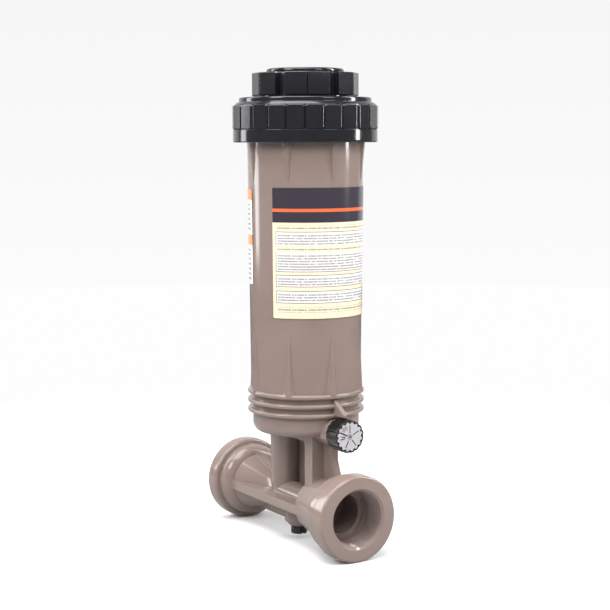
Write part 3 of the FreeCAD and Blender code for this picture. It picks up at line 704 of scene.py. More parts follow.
@dataclass
class Housing:
    """The one-piece moulding with its neck thread, port threads and grid.

    Attributes:
        neck_radius: Radius of the plain neck.
        neck_thread: How far the neck's thread stands out.
        nut_pitch: Rise per turn of the lock nut's thread.
        port_radius: Plain radius of a port's bore.
        port_depth: Length of the port's thread.
        port_pitch: Rise per turn of the pipe thread.
        port_relief: Height of the pipe thread.
        port_inset: Distance of a port's thread from its face.
        smooth_above: Angle in degrees above which a moulded edge stays sharp.
    """

    neck_radius: float = 55.6
    neck_thread: float = 1.7
    nut_pitch: float = 6.35
    port_radius: float = 24.1
    port_depth: float = 22.0
    port_pitch: float = 2.21
    port_relief: float = 0.75
    port_inset: float = 2.4
    smooth_above: float = 28.0

    def moulding(self) -> None:
        """The base and the tube, smoothly shaded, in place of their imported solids."""
        for name, node in (("base_moulding", "feeder_body"), ("tube_moulding", "chamber_tube")):
            DRESSER.smooth_node(node, name, Finishes.HOUSING, Body.CHAMBER,
                                self.smooth_above)

    def neck_ridge(self) -> None:
        """The thread round the neck that the lock nut runs on."""
        turns = (LEVELS.neck_top - LEVELS.neck_foot - 5.0) / self.nut_pitch
        thread = HelicalThread(self.neck_radius, self.neck_thread, self.nut_pitch,
                               LEVELS.neck_thread, turns)
        DRESSER.piece("neck_thread", thread.skin("neck_thread").mesh(), Finishes.HOUSING.material,
                      Body.CHAMBER)

    def port_ridges(self) -> None:
        """The pipe threads in both ports."""
        low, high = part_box("feeder_body")
        mouths = {"inlet_thread": (low.x - AXIS_X) / MM + self.port_inset,
                  "outlet_thread": (high.x - AXIS_X) / MM - self.port_inset - self.port_depth}
        for name, start in mouths.items():
            turns = (self.port_depth - 2.0) / self.port_pitch
            thread = HelicalThread(self.port_radius, -self.port_relief, self.port_pitch, start + 1.6,
                                   turns, spin=Spin.PIPE, foot_share=0.9, crest_share=0.12)
            DRESSER.piece(name, thread.skin(name).mesh(), Finishes.HOUSING.material,
                          Body.CHAMBER)

    def build(self) -> None:
        """Makes and dresses the whole housing."""
        self.moulding()
        self.neck_ridge()
        self.port_ridges()
        DRESSER.smooth_node("tablet_grid", "grid_disc", Finishes.GRID, Body.CHAMBER,
                            self.smooth_above)


@dataclass
class Labels:
    """The two printed films that wrap the tube.

    Attributes:
        foot_radius: Outside radius of the tube above its top ring.
        top_radius: Outside radius of the tube under its neck.
        foot_height: Height of the first radius.
        top_height: Height of the second.
        stand_off: Gap between the tube and a film's outer face.
        thickness: Thickness of a film.
        corner: Radius of a film's corners.
    """

    foot_radius: float = 48.3
    top_radius: float = 50.5
    foot_height: float = 102.0
    top_height: float = 318.2
    stand_off: float = 0.34
    thickness: float = 0.25
    corner: float = 1.2

    def tube_radius(self, height: np.ndarray) -> np.ndarray:
        """Outside radius of the drafted tube at a height."""
        slope = (self.top_radius - self.foot_radius) / (self.top_height - self.foot_height)
        return self.foot_radius + slope * (height - self.foot_height)

    def film(self, name: str, start: float, arc: float, low: float, high: float) -> Skin:
        """Outer face of a film: (r(z) + gap, z, a) over its arc and height.

        Args:
            name: Name of the piece.
            start: Angle in degrees where it starts.
            arc: Angle that it covers.
            low: Lower edge.
            high: Upper edge.

        Returns:
            The surface, with surface coordinates in metres from its lower left corner.
        """
        edge = [0.0, 0.002]
        columns, rows = int(arc * 1.2), int((high - low) / 2.5)
        across = np.concatenate([edge, np.linspace(0.01, 0.99, columns), [0.998, 1.0]])[None, :]
        up = np.concatenate([edge, np.linspace(0.01, 0.99, rows), [0.998, 1.0]])[:, None]
        angle = np.radians(start + arc * across)
        middle = self.tube_radius(np.array((low + high) / 2.0))
        width = math.radians(arc) * float(middle)
        drawn_in = self.corner_inset(across * width, width)
        height = low + drawn_in + (high - low - 2 * drawn_in) * up
        radius = self.tube_radius(height) + self.stand_off
        points = place(radius, height, angle + 0 * up, Spin.CHAMBER)
        uv = np.stack(np.broadcast_arrays(across * width * MM, (height - low) * MM), axis=-1)
        return Skin(name, points, uv=uv)

    def corner_inset(self, across: np.ndarray, width: float) -> np.ndarray:
        """How far a film's upper and lower edges draw in near its rounded corners."""
        edge = np.minimum(across, width - across)
        reach = np.clip(1.0 - edge / self.corner, 0.0, 1.0)
        return self.corner * (1.0 - np.sqrt(1.0 - reach ** 2))

    def front_print(self) -> PrintedFilm:
        """Print of the front film: a dark head with a bright stripe over four framed fields."""
        width = 113.0
        cream = srgb(240, 223, 193)
        white = srgb(228, 227, 226)
        dark = srgb(56, 50, 60)
        orange = srgb(226, 106, 62)
        rows = [PrintRow(0, width, 81.6, 111.2, dark), PrintRow(0, width, 90.6, 93.4, orange),
                PrintRow(3.0, width - 3.0, 74.4, 80.8, cream, 0.0, 2.6)]
        for low, high in ((61.5, 74.0), (39.8, 56.9), (27.0, 37.3), (13.1, 23.8)):
            rows.append(PrintRow(3.0, width - 3.0, low, high, white, 0.5, 2.3))
        rows.append(PrintRow(3.0, width - 3.0, 56.0, 62.4, cream, 0.0, 2.3))
        rows.append(PrintRow(3.0, width - 3.0, 3.6, 11.4, cream, 0.0, 2.6))
        return PrintedFilm("front_label_print", cream, srgb(158, 153, 150), srgb(84, 78, 76),
                           tuple(rows))

    def side_print(self) -> PrintedFilm:
        """Print of the side film: two bright blocks and rows of small marks."""
        width = 66.0
        paper = srgb(243, 238, 232)
        orange = srgb(240, 150, 92)
        rows = (PrintRow(0, width, 73.0, 82.2, orange), PrintRow(0, width, 34.0, 43.0, orange),
                PrintRow(2.0, width - 2.0, 45.0, 71.0, paper, 0.0, 4.2),
                PrintRow(2.0, width - 2.0, 2.0, 32.0, paper, 0.0, 4.2))
        return PrintedFilm("side_label_print", paper, srgb(122, 118, 120), srgb(110, 104, 100), rows)

    def build(self) -> None:
        """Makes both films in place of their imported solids."""
        jobs = (("front_film", "front_label", -65.1, 130.2, 168.2, 279.2, self.front_print()),
                ("side_film", "side_label", -173.5, 76.0, 195.0, 277.0, self.side_print()))
        for name, node, start, arc, low, high, film in jobs:
            made = DRESSER.piece(name, self.film(name, start, arc, low, high).mesh(),
                                 film.material(), Body.CHAMBER, [node])
            solid = made.modifiers.new("thickness", "SOLIDIFY")
            solid.thickness = self.thickness * MM
            solid.offset = -1.0


@dataclass
class LockNut:
    """Ring with flat grip panels that screws onto the neck.

    Attributes:
        panels: Number of flat panels.
        flat: Distance of a panel's middle from the axis.
        turn: Angle in degrees of one panel's middle.
        core: Radius between the panels.
        fill: Width of a panel as a share of its pitch.
        edge: Radius of the round edge of a panel.
        corner: Radius of its corners.
        samples: Steps round one panel.
    """

    panels: int = 24
    flat: float = 63.1
    turn: float = -23.9
    core: float = 61.8
    bottom: float = 317.1
    band_top: float = 328.0
    band: float = 62.9
    panel_top: float = 348.7
    shoulder_height: float = 351.3
    shoulder: float = 59.7
    lip: float = 57.6
    lip_top: float = 355.6
    mouth: float = 48.8
    ceiling: float = 348.0
    bore: float = 57.8
    fill: float = 0.91
    edge: float = 0.7
    corner: float = 1.6
    samples: int = 26
    thread_pitch: float = 6.35
    thread_height: float = 1.55

    def outline(self) -> np.ndarray:
        """Closed section of the ring, with many points up the panels."""
        corners = [(self.bore, self.bottom, 0.7), (self.band, self.bottom, 1.0),
                   (self.band, self.band_top, 0.35), (self.core, self.band_top + 0.25, 0.1),
                   (self.core, self.panel_top + 0.5, 0.3), (self.shoulder, self.shoulder_height, 1.2),
                   (self.lip, self.shoulder_height, 0.5), (self.lip, self.lip_top, 1.4),
                   (self.mouth, self.lip_top, 0.9), (self.mouth, self.ceiling, 0.3),
                   (self.bore, self.ceiling, 0.3)]
        return densified(rounded(corners, steps=5), 1.6)

    def panel_rows(self, outline: np.ndarray) -> np.ndarray:
        """Adds closely spaced rows at the panels' upper and lower edges."""
        straight = np.isclose(outline[:, 0], self.core, atol=1e-3)
        low, high = outline[straight, 1].min(), outline[straight, 1].max()
        first = int(np.argmax(straight))
        edge = np.linspace(0.0, 1.0, 9)[1:] ** 1.4 * 2.4
        heights = np.concatenate([[low], low + edge, np.linspace(low + 4, high - 4, 6),
                                  (high - edge)[::-1], [high]])
        rows = np.stack([np.full_like(heights, self.core), heights], axis=1)
        before = outline[:first]
        after = outline[first + int(straight.sum()):]
        return np.concatenate([before, rows, after])

    def panel_lift(self, across: np.ndarray, height: np.ndarray, angle: np.ndarray) -> np.ndarray:
        """Radius of the panel face at a place, or the core between the panels.

        A panel is a rounded rectangle. With d the distance inside its outline, the face rises
        from the core to flat / cos(angle) by a quarter round of radius edge.
        """
        middle = (self.band_top + self.panel_top) / 2.0 + 0.2
        half_high = (self.panel_top - self.band_top) / 2.0 - 0.1
        half_wide = self.flat * math.tan(math.pi / self.panels) * self.fill
        over_x = np.abs(across) - half_wide + self.corner
        over_z = np.abs(height - middle) - half_high + self.corner
        outside = np.hypot(np.maximum(over_x, 0), np.maximum(over_z, 0))
        inside = np.minimum(np.maximum(over_x, over_z), 0)
        depth = self.corner - outside - inside
        share = np.clip(depth / self.edge, 0.0, 1.0)
        rise = np.sqrt(1.0 - (1.0 - share) ** 2)
        return self.core + (self.flat / np.cos(angle) - self.core) * rise

    def shell(self) -> bpy.types.Mesh:
        """Turns the section and lifts the panels out of it."""
        section = self.panel_rows(self.outline())
        pitch = TURN / self.panels
        step = np.linspace(-0.5, 0.5, self.samples, endpoint=False)
        bent = step + 0.045 * np.sin(2 * TURN * step)
        local = np.tile(bent * pitch, self.panels)
        centre = np.repeat(np.arange(self.panels) * pitch, self.samples)
        angle = (centre + local + math.radians(self.turn))[:, None]
        radius, height = section[None, :, 0], section[None, :, 1]
        on_core = np.isclose(radius, self.core, atol=1e-3)
        across = self.flat * np.tan(local)[:, None]
        lifted = self.panel_lift(across, height, local[:, None])
        points = place(np.where(on_core, lifted, radius), height, angle, Spin.CHAMBER)
        return Skin("nut_ring", points, True, True, sharp=40.0).mesh()

    def build(self) -> None:
        """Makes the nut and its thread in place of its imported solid."""
        DRESSER.piece("nut_ring", self.shell(), Finishes.CAP.material, Body.LOCK_NUT,
                      ["lock_nut"])
        turns = (self.ceiling - self.bottom - 7.0) / self.thread_pitch
        thread = HelicalThread(self.bore, -self.thread_height, self.thread_pitch,
                               LEVELS.neck_thread - self.thread_pitch, turns)
        DRESSER.piece("nut_thread", thread.skin("nut_thread").mesh(), Finishes.CAP.material,
                      Body.LOCK_NUT)


@dataclass
class Cover:
    """Plug, flange, lobed hand grip and top disc of the cover.

    Attributes:
        seat: Underside of the flange.
        spigot: Radius of the plug that enters the neck.
        lobes: Number of lobes of the hand grip.
        turn: Angle in degrees of one lobe's middle.
        groove_depth: Depth of the narrow groove in the middle of a lobe.
        groove_half: Half its width.
        samples: Half the steps round a turned piece.
    """

    seat: float = 343.1
    spigot: float = 46.0
    spigot_depth: float = 8.0
    spigot_wall: float = 4.0
    flange: float = 55.3
    flange_thick: float = 4.6
    boss: float = 47.8
    boss_top: float = 355.0
    grip_low: float = 356.8
    grip_top: float = 376.6
    grip: float = 46.5
    recess: float = 39.5
    lobes: int = 6
    lobe_arc: float = 50.0
    turn: float = -28.9
    disc: float = 33.7
    disc_top: float = 380.4
    disc_thick: float = 3.5
    stem: float = 28.7
    groove_depth: float = 1.2
    groove_half: float = 0.5
    samples: int = 120

    def plug(self) -> bpy.types.Mesh:
        """Hollow plug with its flange and boss, turned about the chamber's axis."""
        inner = self.recess - 4.0
        bottom = self.seat - self.spigot_depth
        corners = [(0, self.boss_top, 0), (self.boss, self.boss_top, 1.3),
                   (self.boss, self.seat + self.flange_thick, 0.3),
                   (self.flange, self.seat + self.flange_thick, 0.7),
                   (self.flange, self.seat, 0.5), (self.spigot, self.seat, 0.2),
                   (self.spigot, bottom, 1.0), (self.spigot - self.spigot_wall, bottom, 1.0),
                   (self.spigot - self.spigot_wall, self.seat, 1.0), (inner, self.seat + 4.0, 2.0),
                   (inner, self.seat + 7.5, 2.0), (0, self.seat + 7.5, 0)]
        outline = densified(rounded(corners, closed=False, steps=6), 6.0, closed=False)
        return self.turned("cover_plug", outline)

    def turned(self, name: str, outline: np.ndarray) -> bpy.types.Mesh:
        """Turns an open outline of (radius, height) that starts and ends on the axis."""
        angle = np.linspace(0, TURN, self.samples * 2, endpoint=False)[None, :]
        points = place(outline[:, :1], outline[:, 1:], angle, Spin.CHAMBER)
        return Skin(name, points, columns_meet=True, sharp=40.0).mesh()

    def lobe_radius(self, angle: np.ndarray) -> np.ndarray:
        """Outline of the hand grip by angle from a lobe's middle.

        Each lobe is two flats that meet at its middle, where a narrow groove parts them. With c
        the distance round from a flat's end, the outline drops by a smooth step to the recess.
        """
        pitch = TURN / self.lobes
        local = (angle + pitch / 2) % pitch - pitch / 2
        half = math.radians(self.lobe_arc / 2)
        quarter = half / 2
        flat = self.grip * math.cos(quarter) / np.cos(np.abs(local) - quarter)
        from_end = (half - np.abs(local)) * self.grip
        step = np.clip(from_end / 1.6 + 0.5, 0.0, 1.0)
        step = step * step * (3 - 2 * step)
        away = np.abs(local) * self.grip / self.groove_half
        groove = self.groove_depth * np.exp(-away ** 2)
        return self.recess + (flat - groove - self.recess) * step

    def grip_angles(self) -> np.ndarray:
        """Angles round the grip, crowded at each lobe's ends and middle."""
        pitch = TURN / self.lobes
        half = math.radians(self.lobe_arc / 2)
        near_end = half + np.linspace(-1.8, 1.8, 13) / self.grip
        near_middle = np.linspace(-1.8, 1.8, 13) / self.grip
        open_run = np.linspace(0.06, half - 0.06, 10)
        recess_run = np.linspace(half + 0.05, pitch / 2, 4)[:-1]
        right = np.concatenate([near_end, open_run, recess_run])
        local = np.unique(np.concatenate([right, -right, near_middle, [-pitch / 2]]))
        return (local[None, :] + np.arange(self.lobes)[:, None] * pitch).ravel()

    def grip_shell(self) -> bpy.types.Mesh:
        """The lobed grip: its outline drawn in near the top and bottom by a rounded edge."""
        edge = 1.1
        arc = np.linspace(0, math.pi / 2, 6)
        draw = edge * (1 - np.sin(arc))
        rise = edge * (1 - np.cos(arc))
        low = self.grip_low + rise
        high = self.grip_top - rise[::-1]
        heights = np.concatenate([[self.grip_low] * 2, low, high, [self.grip_top] * 2])
        insets = np.concatenate([[0, 0], draw, draw[::-1], [0, 0]])
        shares = np.concatenate([[0.0, 0.7], np.ones(2 * len(arc)), [0.7, 0.0]])
        angle = self.grip_angles()
        outline = self.lobe_radius(angle)
        radius = (outline[None, :] - insets[:, None]) * shares[:, None]
        points = place(radius, heights[:, None], angle[None, :] + math.radians(self.turn),
                       Spin.CHAMBER)
        return Skin("cover_grip", points, columns_meet=True, sharp=35.0).mesh()

    def crown(self) -> bpy.types.Mesh:
        """Stem and flat disc on top of the grip."""
        corners = [(0, self.grip_top - 0.6, 0), (self.stem, self.grip_top - 0.6, 0),
                   (self.stem, self.disc_top - self.disc_thick, 0.4),
                   (self.disc, self.disc_top - self.disc_thick, 1.1),
                   (self.disc, self.disc_top, 2.0), (0, self.disc_top, 0)]
        return self.turned("cover_disc", densified(rounded(corners, closed=False), 6.0, closed=False))

    def post(self) -> bpy.types.Mesh:
        """Solid middle between the boss and the grip."""
        corners = [(0, self.boss_top - 0.5, 0), (self.recess, self.boss_top - 0.5, 0),
                   (self.recess, self.grip_low + 0.5, 0), (0, self.grip_low + 0.5, 0)]
        return self.turned("cover_post", densified(rounded(corners, closed=False), 6.0, closed=False))

    def build(self) -> None:
        """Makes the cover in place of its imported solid."""
        gloss = Finishes.CAP.material
        DRESSER.piece("cover_plug", self.plug(), gloss, Body.COVER, ["cover"])
        for mesh in (self.grip_shell(), self.crown(), self.post()):
            DRESSER.piece(mesh.name, mesh, gloss, Body.COVER)
        DRESSER.dress_node("cover_o_ring", Finishes.SEAL)


@dataclass
class DialValve:
    """Fluted knob, dial plate with its marks, and the valve parts behind them.

    Attributes:
        back: Back rim of the knob, from the chamber's axis.
        face: Its front.
        radius: Radius over its flats.
        flutes: Number of flutes.
    """

    back: float = 55.1
    face: float = 71.6
    radius: float = 14.3
    wall: float = 2.2
    front: float = 3.2
    flutes: int = 16
    flute_depth: float = 0.95
    flute_half: float = 0.95
    hub: float = 6.0
    hub_back: float = 61.0
    shaft: float = 3.55
    plate: float = 12.5
    plate_thick: float = 0.5
    notch: float = 1.35
    screw_hole: float = 2.45
    mark_lift: float = 0.05
    samples: int = 22

    def angles(self) -> Tuple[np.ndarray, np.ndarray]:
        """Angles round the knob, and each one's angle from its flute's middle."""
        pitch = TURN / self.flutes
        step = np.linspace(-0.5, 0.5, self.samples, endpoint=False)
        local = np.tile((step - 0.07 * np.sin(TURN * step)) * pitch, self.flutes)
        centre = np.repeat(np.arange(self.flutes) * pitch, self.samples) + TURN / 4
        return centre + local, local

    def knob_shell(self) -> bpy.types.Mesh:
        """The cup: its section turned about the dial's axis, with flats and flutes outside.

        The outside is radius cos(p) / cos(p - |a|) less a round-bottomed groove at each flute,
        with a the angle from the flute and p half the angle between two.
        """
        floor = self.face - self.plate_thick - 0.1
        inner_front = self.face - self.front
        corners = [(self.screw_hole, floor, 0.1), (self.plate + 0.12, floor, 0.1),
                   (self.plate + 0.12, self.face, 0.25), (self.radius, self.face, 0.8),
                   (self.radius, self.back, 0.6), (self.radius - self.wall, self.back, 0.4),
                   (self.radius - self.wall, inner_front, 0.8), (self.hub, inner_front, 0.6),
                   (self.hub, self.hub_back, 0.4), (self.shaft, self.hub_back, 0.3),
                   (self.shaft, inner_front, 0), (self.screw_hole, inner_front, 0)]
        section = densified(rounded(corners, steps=5), 2.5)
        angle, local = self.angles()
        half = math.pi / self.flutes
        flat = math.cos(half) / np.cos(half - np.abs(local))
        along = np.abs(local) * self.radius / self.flute_half
        groove = self.flute_depth * np.exp(-along ** 4)
        radius = section[None, :, 0]
        weight = np.clip((radius - (self.radius - 1.0)) / 1.0, 0.0, 1.0)
        shaped = radius * (1 + (flat[:, None] - 1) * weight) - groove[:, None] * weight
        points = place(shaped, section[None, :, 1], angle[:, None], Spin.DIAL)
        return Skin("knob_cup", points, True, True, sharp=40.0).mesh()

    def plate_shell(self) -> bpy.types.Mesh:
        """The dial plate: a thin ring whose rim draws in at each notch."""
        angle, local = self.angles()
        away = np.abs(local) * self.plate / self.notch
        rim = self.plate - self.notch * np.sqrt(np.clip(1 - away ** 2, 0, None))
        low, high, soft = self.face - self.plate_thick, self.face - 0.02, 0.12
        rows = [(0.0, low, self.screw_hole), (0.0, high, self.screw_hole),
                (0.5, high, 0.0), (1.0, high, -soft), (1.0, high - soft, 0.0), (1.0, low, 0.0)]
        radii = np.stack([share * rim + (1 - share) * extra * (share < 0.5) + (share > 0) * extra
                          * (share >= 0.5) for share, _, extra in rows])
        heights = np.array([height for _, height, _ in rows])[:, None]
        points = place(radii, heights, angle[None, :], Spin.DIAL)
        return Skin("dial_disc", points, True, True, sharp=40.0).mesh()

    def stroke(self, angle: float, start: float, end: float, width: float) -> bpy.types.Mesh:
        """One printed radial stroke, as a thin raised bar.

        Args:
            angle: Direction in degrees as seen from the front, from the right, turning upwards.
            start: Distance of its inner end from the centre.
            end: Distance of its outer end.
            width: Width of the stroke.

        Returns:
            The mesh of the bar.
        """
        way = np.array([math.cos(math.radians(angle)), math.sin(math.radians(angle))])
        side = np.array([-way[1], way[0]])
        reach = np.array([start, end])[:, None, None]
        shift = np.array([-0.5, 0.5, 0.5, -0.5])[None, :, None] * width
        flat = reach * way + shift * side
        lift = self.face - 0.02 + np.array([0.0, 0.0, 1.0, 1.0])[None, :] * self.mark_lift
        points = np.stack([AXIS_X + np.broadcast_to(lift, flat.shape[:2]) * MM, flat[..., 0] * MM,
                           (LEVELS.dial + flat[..., 1]) * MM], axis=-1)
        skin = Skin("stroke", points, columns_meet=True).mesh()
        work = bmesh.new()
        work.from_mesh(skin)
        bmesh.ops.holes_fill(work, edges=work.edges)
        bmesh.ops.recalc_face_normals(work, faces=work.faces)
        work.to_mesh(skin)
        work.free()
        return skin

    def figure(self, text: str, angle: float, distance: float, size: float) -> bpy.types.Mesh:
        """A printed number, made a mesh and set on the face of the plate."""
        curve = bpy.data.curves.new("figure", "FONT")
        curve.body = text
        curve.align_x, curve.align_y = "CENTER", "CENTER"
        curve.size = size * MM
        curve.extrude = self.mark_lift * MM / 2
        holder = bpy.data.objects.new("figure", curve)
        mesh = bpy.data.meshes.new_from_object(holder)
        bpy.data.objects.remove(holder)
        bpy.data.curves.remove(curve)
        across = distance * math.cos(math.radians(angle)) * MM
        up = distance * math.sin(math.radians(angle)) * MM
        upright = Matrix(((0, 0, 1, AXIS_X + (self.face + 0.01) * MM), (1, 0, 0, across),
                          (0, 1, 0, LEVELS.dial * MM + up), (0, 0, 0, 1)))
        mesh.transform(upright)
        return mesh

    def marks(self) -> None:
        """Prints the dial: radial strokes, a hatched field and plain numbers."""
        thin = [self.stroke(angle, 3.4, 10.0, 0.85) for angle in (90, 27, -52, -115)]
        thick = [self.stroke(155, 3.2, 10.8, 1.2), self.stroke(176, 4.6, 8.8, 0.9),
                 self.stroke(190, 5.0, 9.6, 0.9)]
        hatch = [self.stroke(angle, 7.0, 10.6, 0.36) for angle in (111, 117, 123, 129, 135, 141)]
        numbers = [self.figure(str(i + 1), angle, 8.4, 3.0)
                   for i, angle in enumerate((-83, -12, 58))]
        DRESSER.piece("dial_strokes", join_skins("dial_strokes", thin + thick + hatch),
                      Finishes.INK.material, Body.DIAL)
        DRESSER.piece("dial_numbers", join_skins("dial_numbers", numbers),
                      Finishes.FAINT_INK.material, Body.DIAL)

    def build(self) -> None:
        """Makes the knob and plate in place of their solids, and dresses the inner parts."""
        DRESSER.piece("knob_cup", self.knob_shell(), Finishes.KNOB.material, Body.DIAL,
                      ["control_knob"])
        DRESSER.piece("dial_disc", self.plate_shell(), Finishes.DIAL.material, Body.DIAL,
                      ["dial_plate"])
        self.marks()
        inner = {"knob_screw": (Finishes.SCREW, Body.DIAL, "screw"),
                 "valve_stem": (Finishes.VALVE, Body.DIAL, "valve"),
                 "valve_cage": (Finishes.VALVE, Body.CHAMBER, "valve"),
                 "valve_bonnet": (Finishes.VALVE, Body.CHAMBER, "valve")}
        for node, (finish, body, slot) in inner.items():
            DRESSER.smooth_node(node, node + "_part", finish, body)
        for node in ("cage_o_rings", "stem_o_rings", "bonnet_o_ring"):
            DRESSER.dress_node(node, Finishes.SEAL)


class DrainPlug:
    """The slotted plug under the pipe with its seal."""

    def build(self) -> None:
        """Dresses the plug and its seal."""
        DRESSER.smooth_node("drain_plug", "plug_head", Finishes.KNOB, Body.DRAIN_PLUG)
        DRESSER.dress_node("drain_o_ring", Finishes.SEAL)


@dataclass
class Studio:
    """Camera, lamps, floor and backdrop.

    Attributes:
        lens: Focal length in millimetres on a sensor of 36.
        eye: Place of the camera from the chamber's axis, in metres.
        bearing: Direction of view, in degrees from -X towards +Y.
        dip: How far the view looks down, in degrees.
        roll: Turn of the picture, in degrees.
    """

    lens: float = 88.32
    eye: Tuple[float, float, float] = (1.118885, -0.680765, 0.319085)
    bearing: float = 31.29
    dip: float = 6.29
    roll: float = -0.155
    floor_height: float = field(default_factory=lambda: CAD_BOX[0].z)
    wall_distance: float = 2.4

    def camera(self) -> None:
        """Makes the camera at the photograph's place and angle."""
        bearing, dip, roll = (math.radians(v) for v in (self.bearing, self.dip, self.roll))
        ahead = Vector((-math.cos(bearing) * math.cos(dip), math.sin(bearing) * math.cos(dip),
                        -math.sin(dip)))
        right = Vector((math.sin(bearing), math.cos(bearing), 0.0))
        up = right.cross(ahead)
        across = right * math.cos(roll) + up * math.sin(roll)
        upward = up * math.cos(roll) - right * math.sin(roll)
        data = bpy.data.cameras.new("camera")
        data.lens, data.sensor_width = self.lens, 36.0
        data.clip_start, data.clip_end = 0.05, 30.0
        made = bpy.data.objects.new("camera", data)
        bpy.context.scene.collection.objects.link(made)
        turned = Matrix((across, upward, -ahead)).transposed().to_4x4()
        place_at = Vector((AXIS_X + self.eye[0], self.eye[1], self.eye[2]))
        made.matrix_world = Matrix.Translation(place_at) @ turned
        bpy.context.scene.camera = made

    def lamp(self, name: str, around: float, height: float, distance: float,
             size: Tuple[float, float], watts: float, aim: float = 0.17,
             mirrored: bool = True) -> None:
        """Adds a soft box that faces the object.

        Args:
            name: Name of the lamp.
            around: Bearing in degrees from the camera's side of the object, to the right.
            height: Height of its middle in metres.
            distance: Distance from the chamber's axis.
            size: Width and height of the box.
            watts: Power.
            aim: Height that it points at.
            mirrored: Whether glossy surfaces show it.
        """
        data = bpy.data.lights.new(name, "AREA")
        data.shape, data.size, data.size_y, data.energy = "RECTANGLE", size[0], size[1], watts
        made = bpy.data.objects.new(name, data)
        bpy.context.scene.collection.objects.link(made)
        turn = math.radians(around - self.bearing)
        spot = Vector((AXIS_X + distance * math.cos(turn), distance * math.sin(turn), height))
        made.location = spot
        made.visible_glossy = mirrored
        towards = Vector((AXIS_X, 0.0, aim)) - spot
        made.rotation_euler = towards.to_track_quat("-Z", "Y").to_euler()

    def lamps(self) -> None:
        """Places the soft boxes: a wide one overhead, three in front, a tall one on each side."""
        self.lamp("top", -40, 1.35, 0.35, (1.2, 1.0), 25.0, 0.0)
        self.lamp("front_left", -52, 0.85, 1.15, (0.5, 0.5), 8.0, 0.3)
        self.lamp("front_right", 42, 0.85, 1.15, (0.4, 0.6), 5.0, 0.36)
        self.lamp("front", 0, 0.68, 0.8, (0.6, 0.4), 3.6, 0.4, mirrored=False)
        self.lamp("right_strip", 89, 0.76, 1.0, (0.15, 1.0), 12.0, 0.45)
        self.lamp("left_strip", -112, 0.66, 1.0, (0.26, 1.1), 6.0, 0.45)

    def backdrop(self) -> None:
        """Dim surrounding with a bright wall behind the object and a pale floor under it."""
        world = bpy.data.worlds.new("surrounding")
        bpy.context.scene.world = world
        world.use_nodes = True
        sheet = NodeSheet(world.node_tree)
        path = sheet.add("ShaderNodeLightPath").outputs
        fill = sheet.add("ShaderNodeBackground", {"Color": (1, 1, 1, 1), "Strength": 0.15})
        glint = sheet.add("ShaderNodeBackground", {"Color": (0.96, 0.96, 1, 1), "Strength": 0.32})
        shown = sheet.add("ShaderNodeBackground", {"Color": (0.92, 0.92, 0.925, 1), "Strength": 1.0})
        first = sheet.add("ShaderNodeMixShader", {0: path["Is Glossy Ray"], 1: fill.outputs[0],
                                                  2: glint.outputs[0]})
        last = sheet.add("ShaderNodeMixShader", {0: path["Is Camera Ray"], 1: first.outputs[0],
                                                 2: shown.outputs[0]})
        sheet.output_world(last.outputs[0])
        self.wall()
        self.floor()

    def staged(self, name: str, points: np.ndarray, shader: Callable, closed: bool) -> None:
        """Adds a surface of the studio with its material.

        Args:
            name: Name of the surface and of its material.
            points: Grid of points in metres.
            shader: Builds the material's shader on a sheet and hands back its socket.
            closed: Whether the grid's columns meet.
        """
        mesh = Skin(name, points, columns_meet=closed).mesh()
        made = bpy.data.objects.new(name, mesh)
        bpy.context.scene.collection.objects.link(made)
        material = bpy.data.materials.new(name + "_paper")
        material.use_nodes = True
        sheet = NodeSheet(material.node_tree)
        sheet.output(shader(sheet))
        made.data.materials.append(material)

    def wall(self) -> None:
        """Upright wall behind the object, a part of a cylinder about it, brighter lower down."""
        angle = np.radians(180.0 - self.bearing + np.linspace(-50, 50, 48))[None, :]
        height = np.linspace(self.floor_height, 3.2, 24)[:, None]
        points = np.stack(np.broadcast_arrays(AXIS_X + self.wall_distance * np.cos(angle),
                                              self.wall_distance * np.sin(angle), height), axis=-1)
        self.staged("wall", points, self.wall_shader, False)

    def wall_shader(self, sheet: NodeSheet) -> bpy.types.NodeSocket:
        """Even glow that fades a little with height."""
        path = sheet.add("ShaderNodeLightPath").outputs
        split = sheet.add("ShaderNodeSeparateXYZ", {0: sheet.object_place()})
        inputs = {"Value": split.outputs[2], "From Min": -0.3, "From Max": 1.0,
                  "To Min": 0.99, "To Max": 0.9}
        level = sheet.add("ShaderNodeMapRange", inputs).outputs["Result"]
        lit = sheet.sum("MULTIPLY", path["Is Diffuse Ray"], 0.4)
        share = sheet.sum("SUBTRACT", 1.0, lit)
        return sheet.add("ShaderNodeEmission", {"Color": (1, 1, 1, 1),
                                                "Strength": sheet.sum("MULTIPLY", level, share)}
                         ).outputs[0]

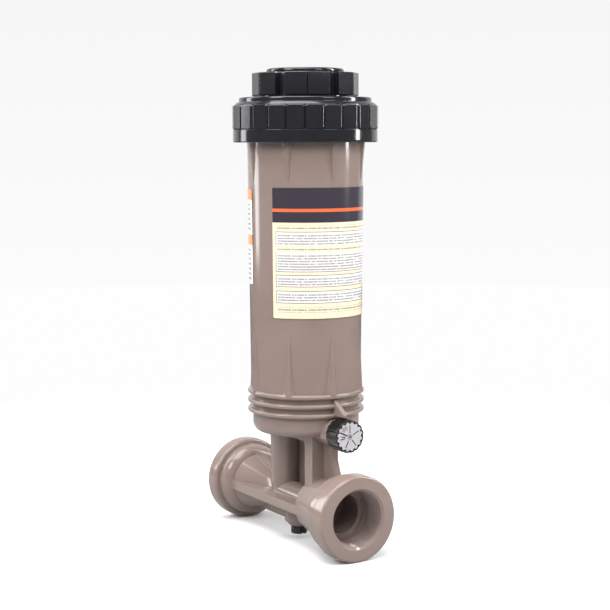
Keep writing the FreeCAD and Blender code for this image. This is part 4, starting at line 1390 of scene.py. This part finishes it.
    def floor(self) -> None:
        """Round floor under the ports, with rings of points out to the wall."""
        radius = np.array([0.0, 0.2, 0.6, 1.0, 1.6, self.wall_distance + 0.02])[:, None]
        angle = np.linspace(0, TURN, 96, endpoint=False)[None, :]
        points = np.stack(np.broadcast_arrays(AXIS_X + radius * np.cos(angle),
                                              radius * np.sin(angle), self.floor_height), axis=-1)
        self.staged("floor", points, self.floor_shader, True)

    def floor_shader(self, sheet: NodeSheet) -> bpy.types.NodeSocket:
        """White paper near the object, which keeps its shadow, and an even glow far from it."""
        path = sheet.add("ShaderNodeLightPath").outputs
        split = sheet.add("ShaderNodeSeparateXYZ", {0: sheet.object_place()})
        along = sheet.sum("SUBTRACT", split.outputs[0], AXIS_X)
        away = sheet.sum("SQRT", sheet.sum("ADD", sheet.sum("MULTIPLY", along, along),
                                           sheet.sum("MULTIPLY", split.outputs[1], split.outputs[1])))
        inputs = {"Value": away, "From Min": 0.3, "From Max": 0.85}
        far = sheet.add("ShaderNodeMapRange", inputs, interpolation_type="SMOOTHSTEP").outputs["Result"]
        paper = sheet.add("ShaderNodeBsdfDiffuse", {"Color": (0.9, 0.9, 0.905, 1)})
        plain = sheet.add("ShaderNodeEmission", {"Color": (0.99, 0.99, 0.99, 1), "Strength": 1.0})
        shown = sheet.add("ShaderNodeMixShader", {0: far, 1: paper.outputs[0], 2: plain.outputs[0]})
        tone = sheet.add("ShaderNodeMapRange", {"Value": far, "To Min": 0.46, "To Max": 0.2})
        dim = sheet.add("ShaderNodeBsdfDiffuse", {"Color": tone.outputs["Result"]})
        both = sheet.add("ShaderNodeMixShader", {0: path["Is Camera Ray"], 1: dim.outputs[0],
                                                 2: shown.outputs[0]})
        return both.outputs[0]

    def build(self) -> None:
        """Makes the whole studio."""
        bpy.context.scene.view_settings.view_transform = "Standard"
        self.camera()
        self.lamps()
        self.backdrop()


def main() -> None:
    """Builds every part of the chlorinator and the studio round it."""
    logging.basicConfig(level=logging.INFO, format="%(message)s")
    for part in (Housing(), Labels(), LockNut(), Cover(), DialValve(), DrainPlug(), Studio()):
        part.build()
        log.info("%s done", type(part).__name__)


if __name__ == "__main__":
    main()
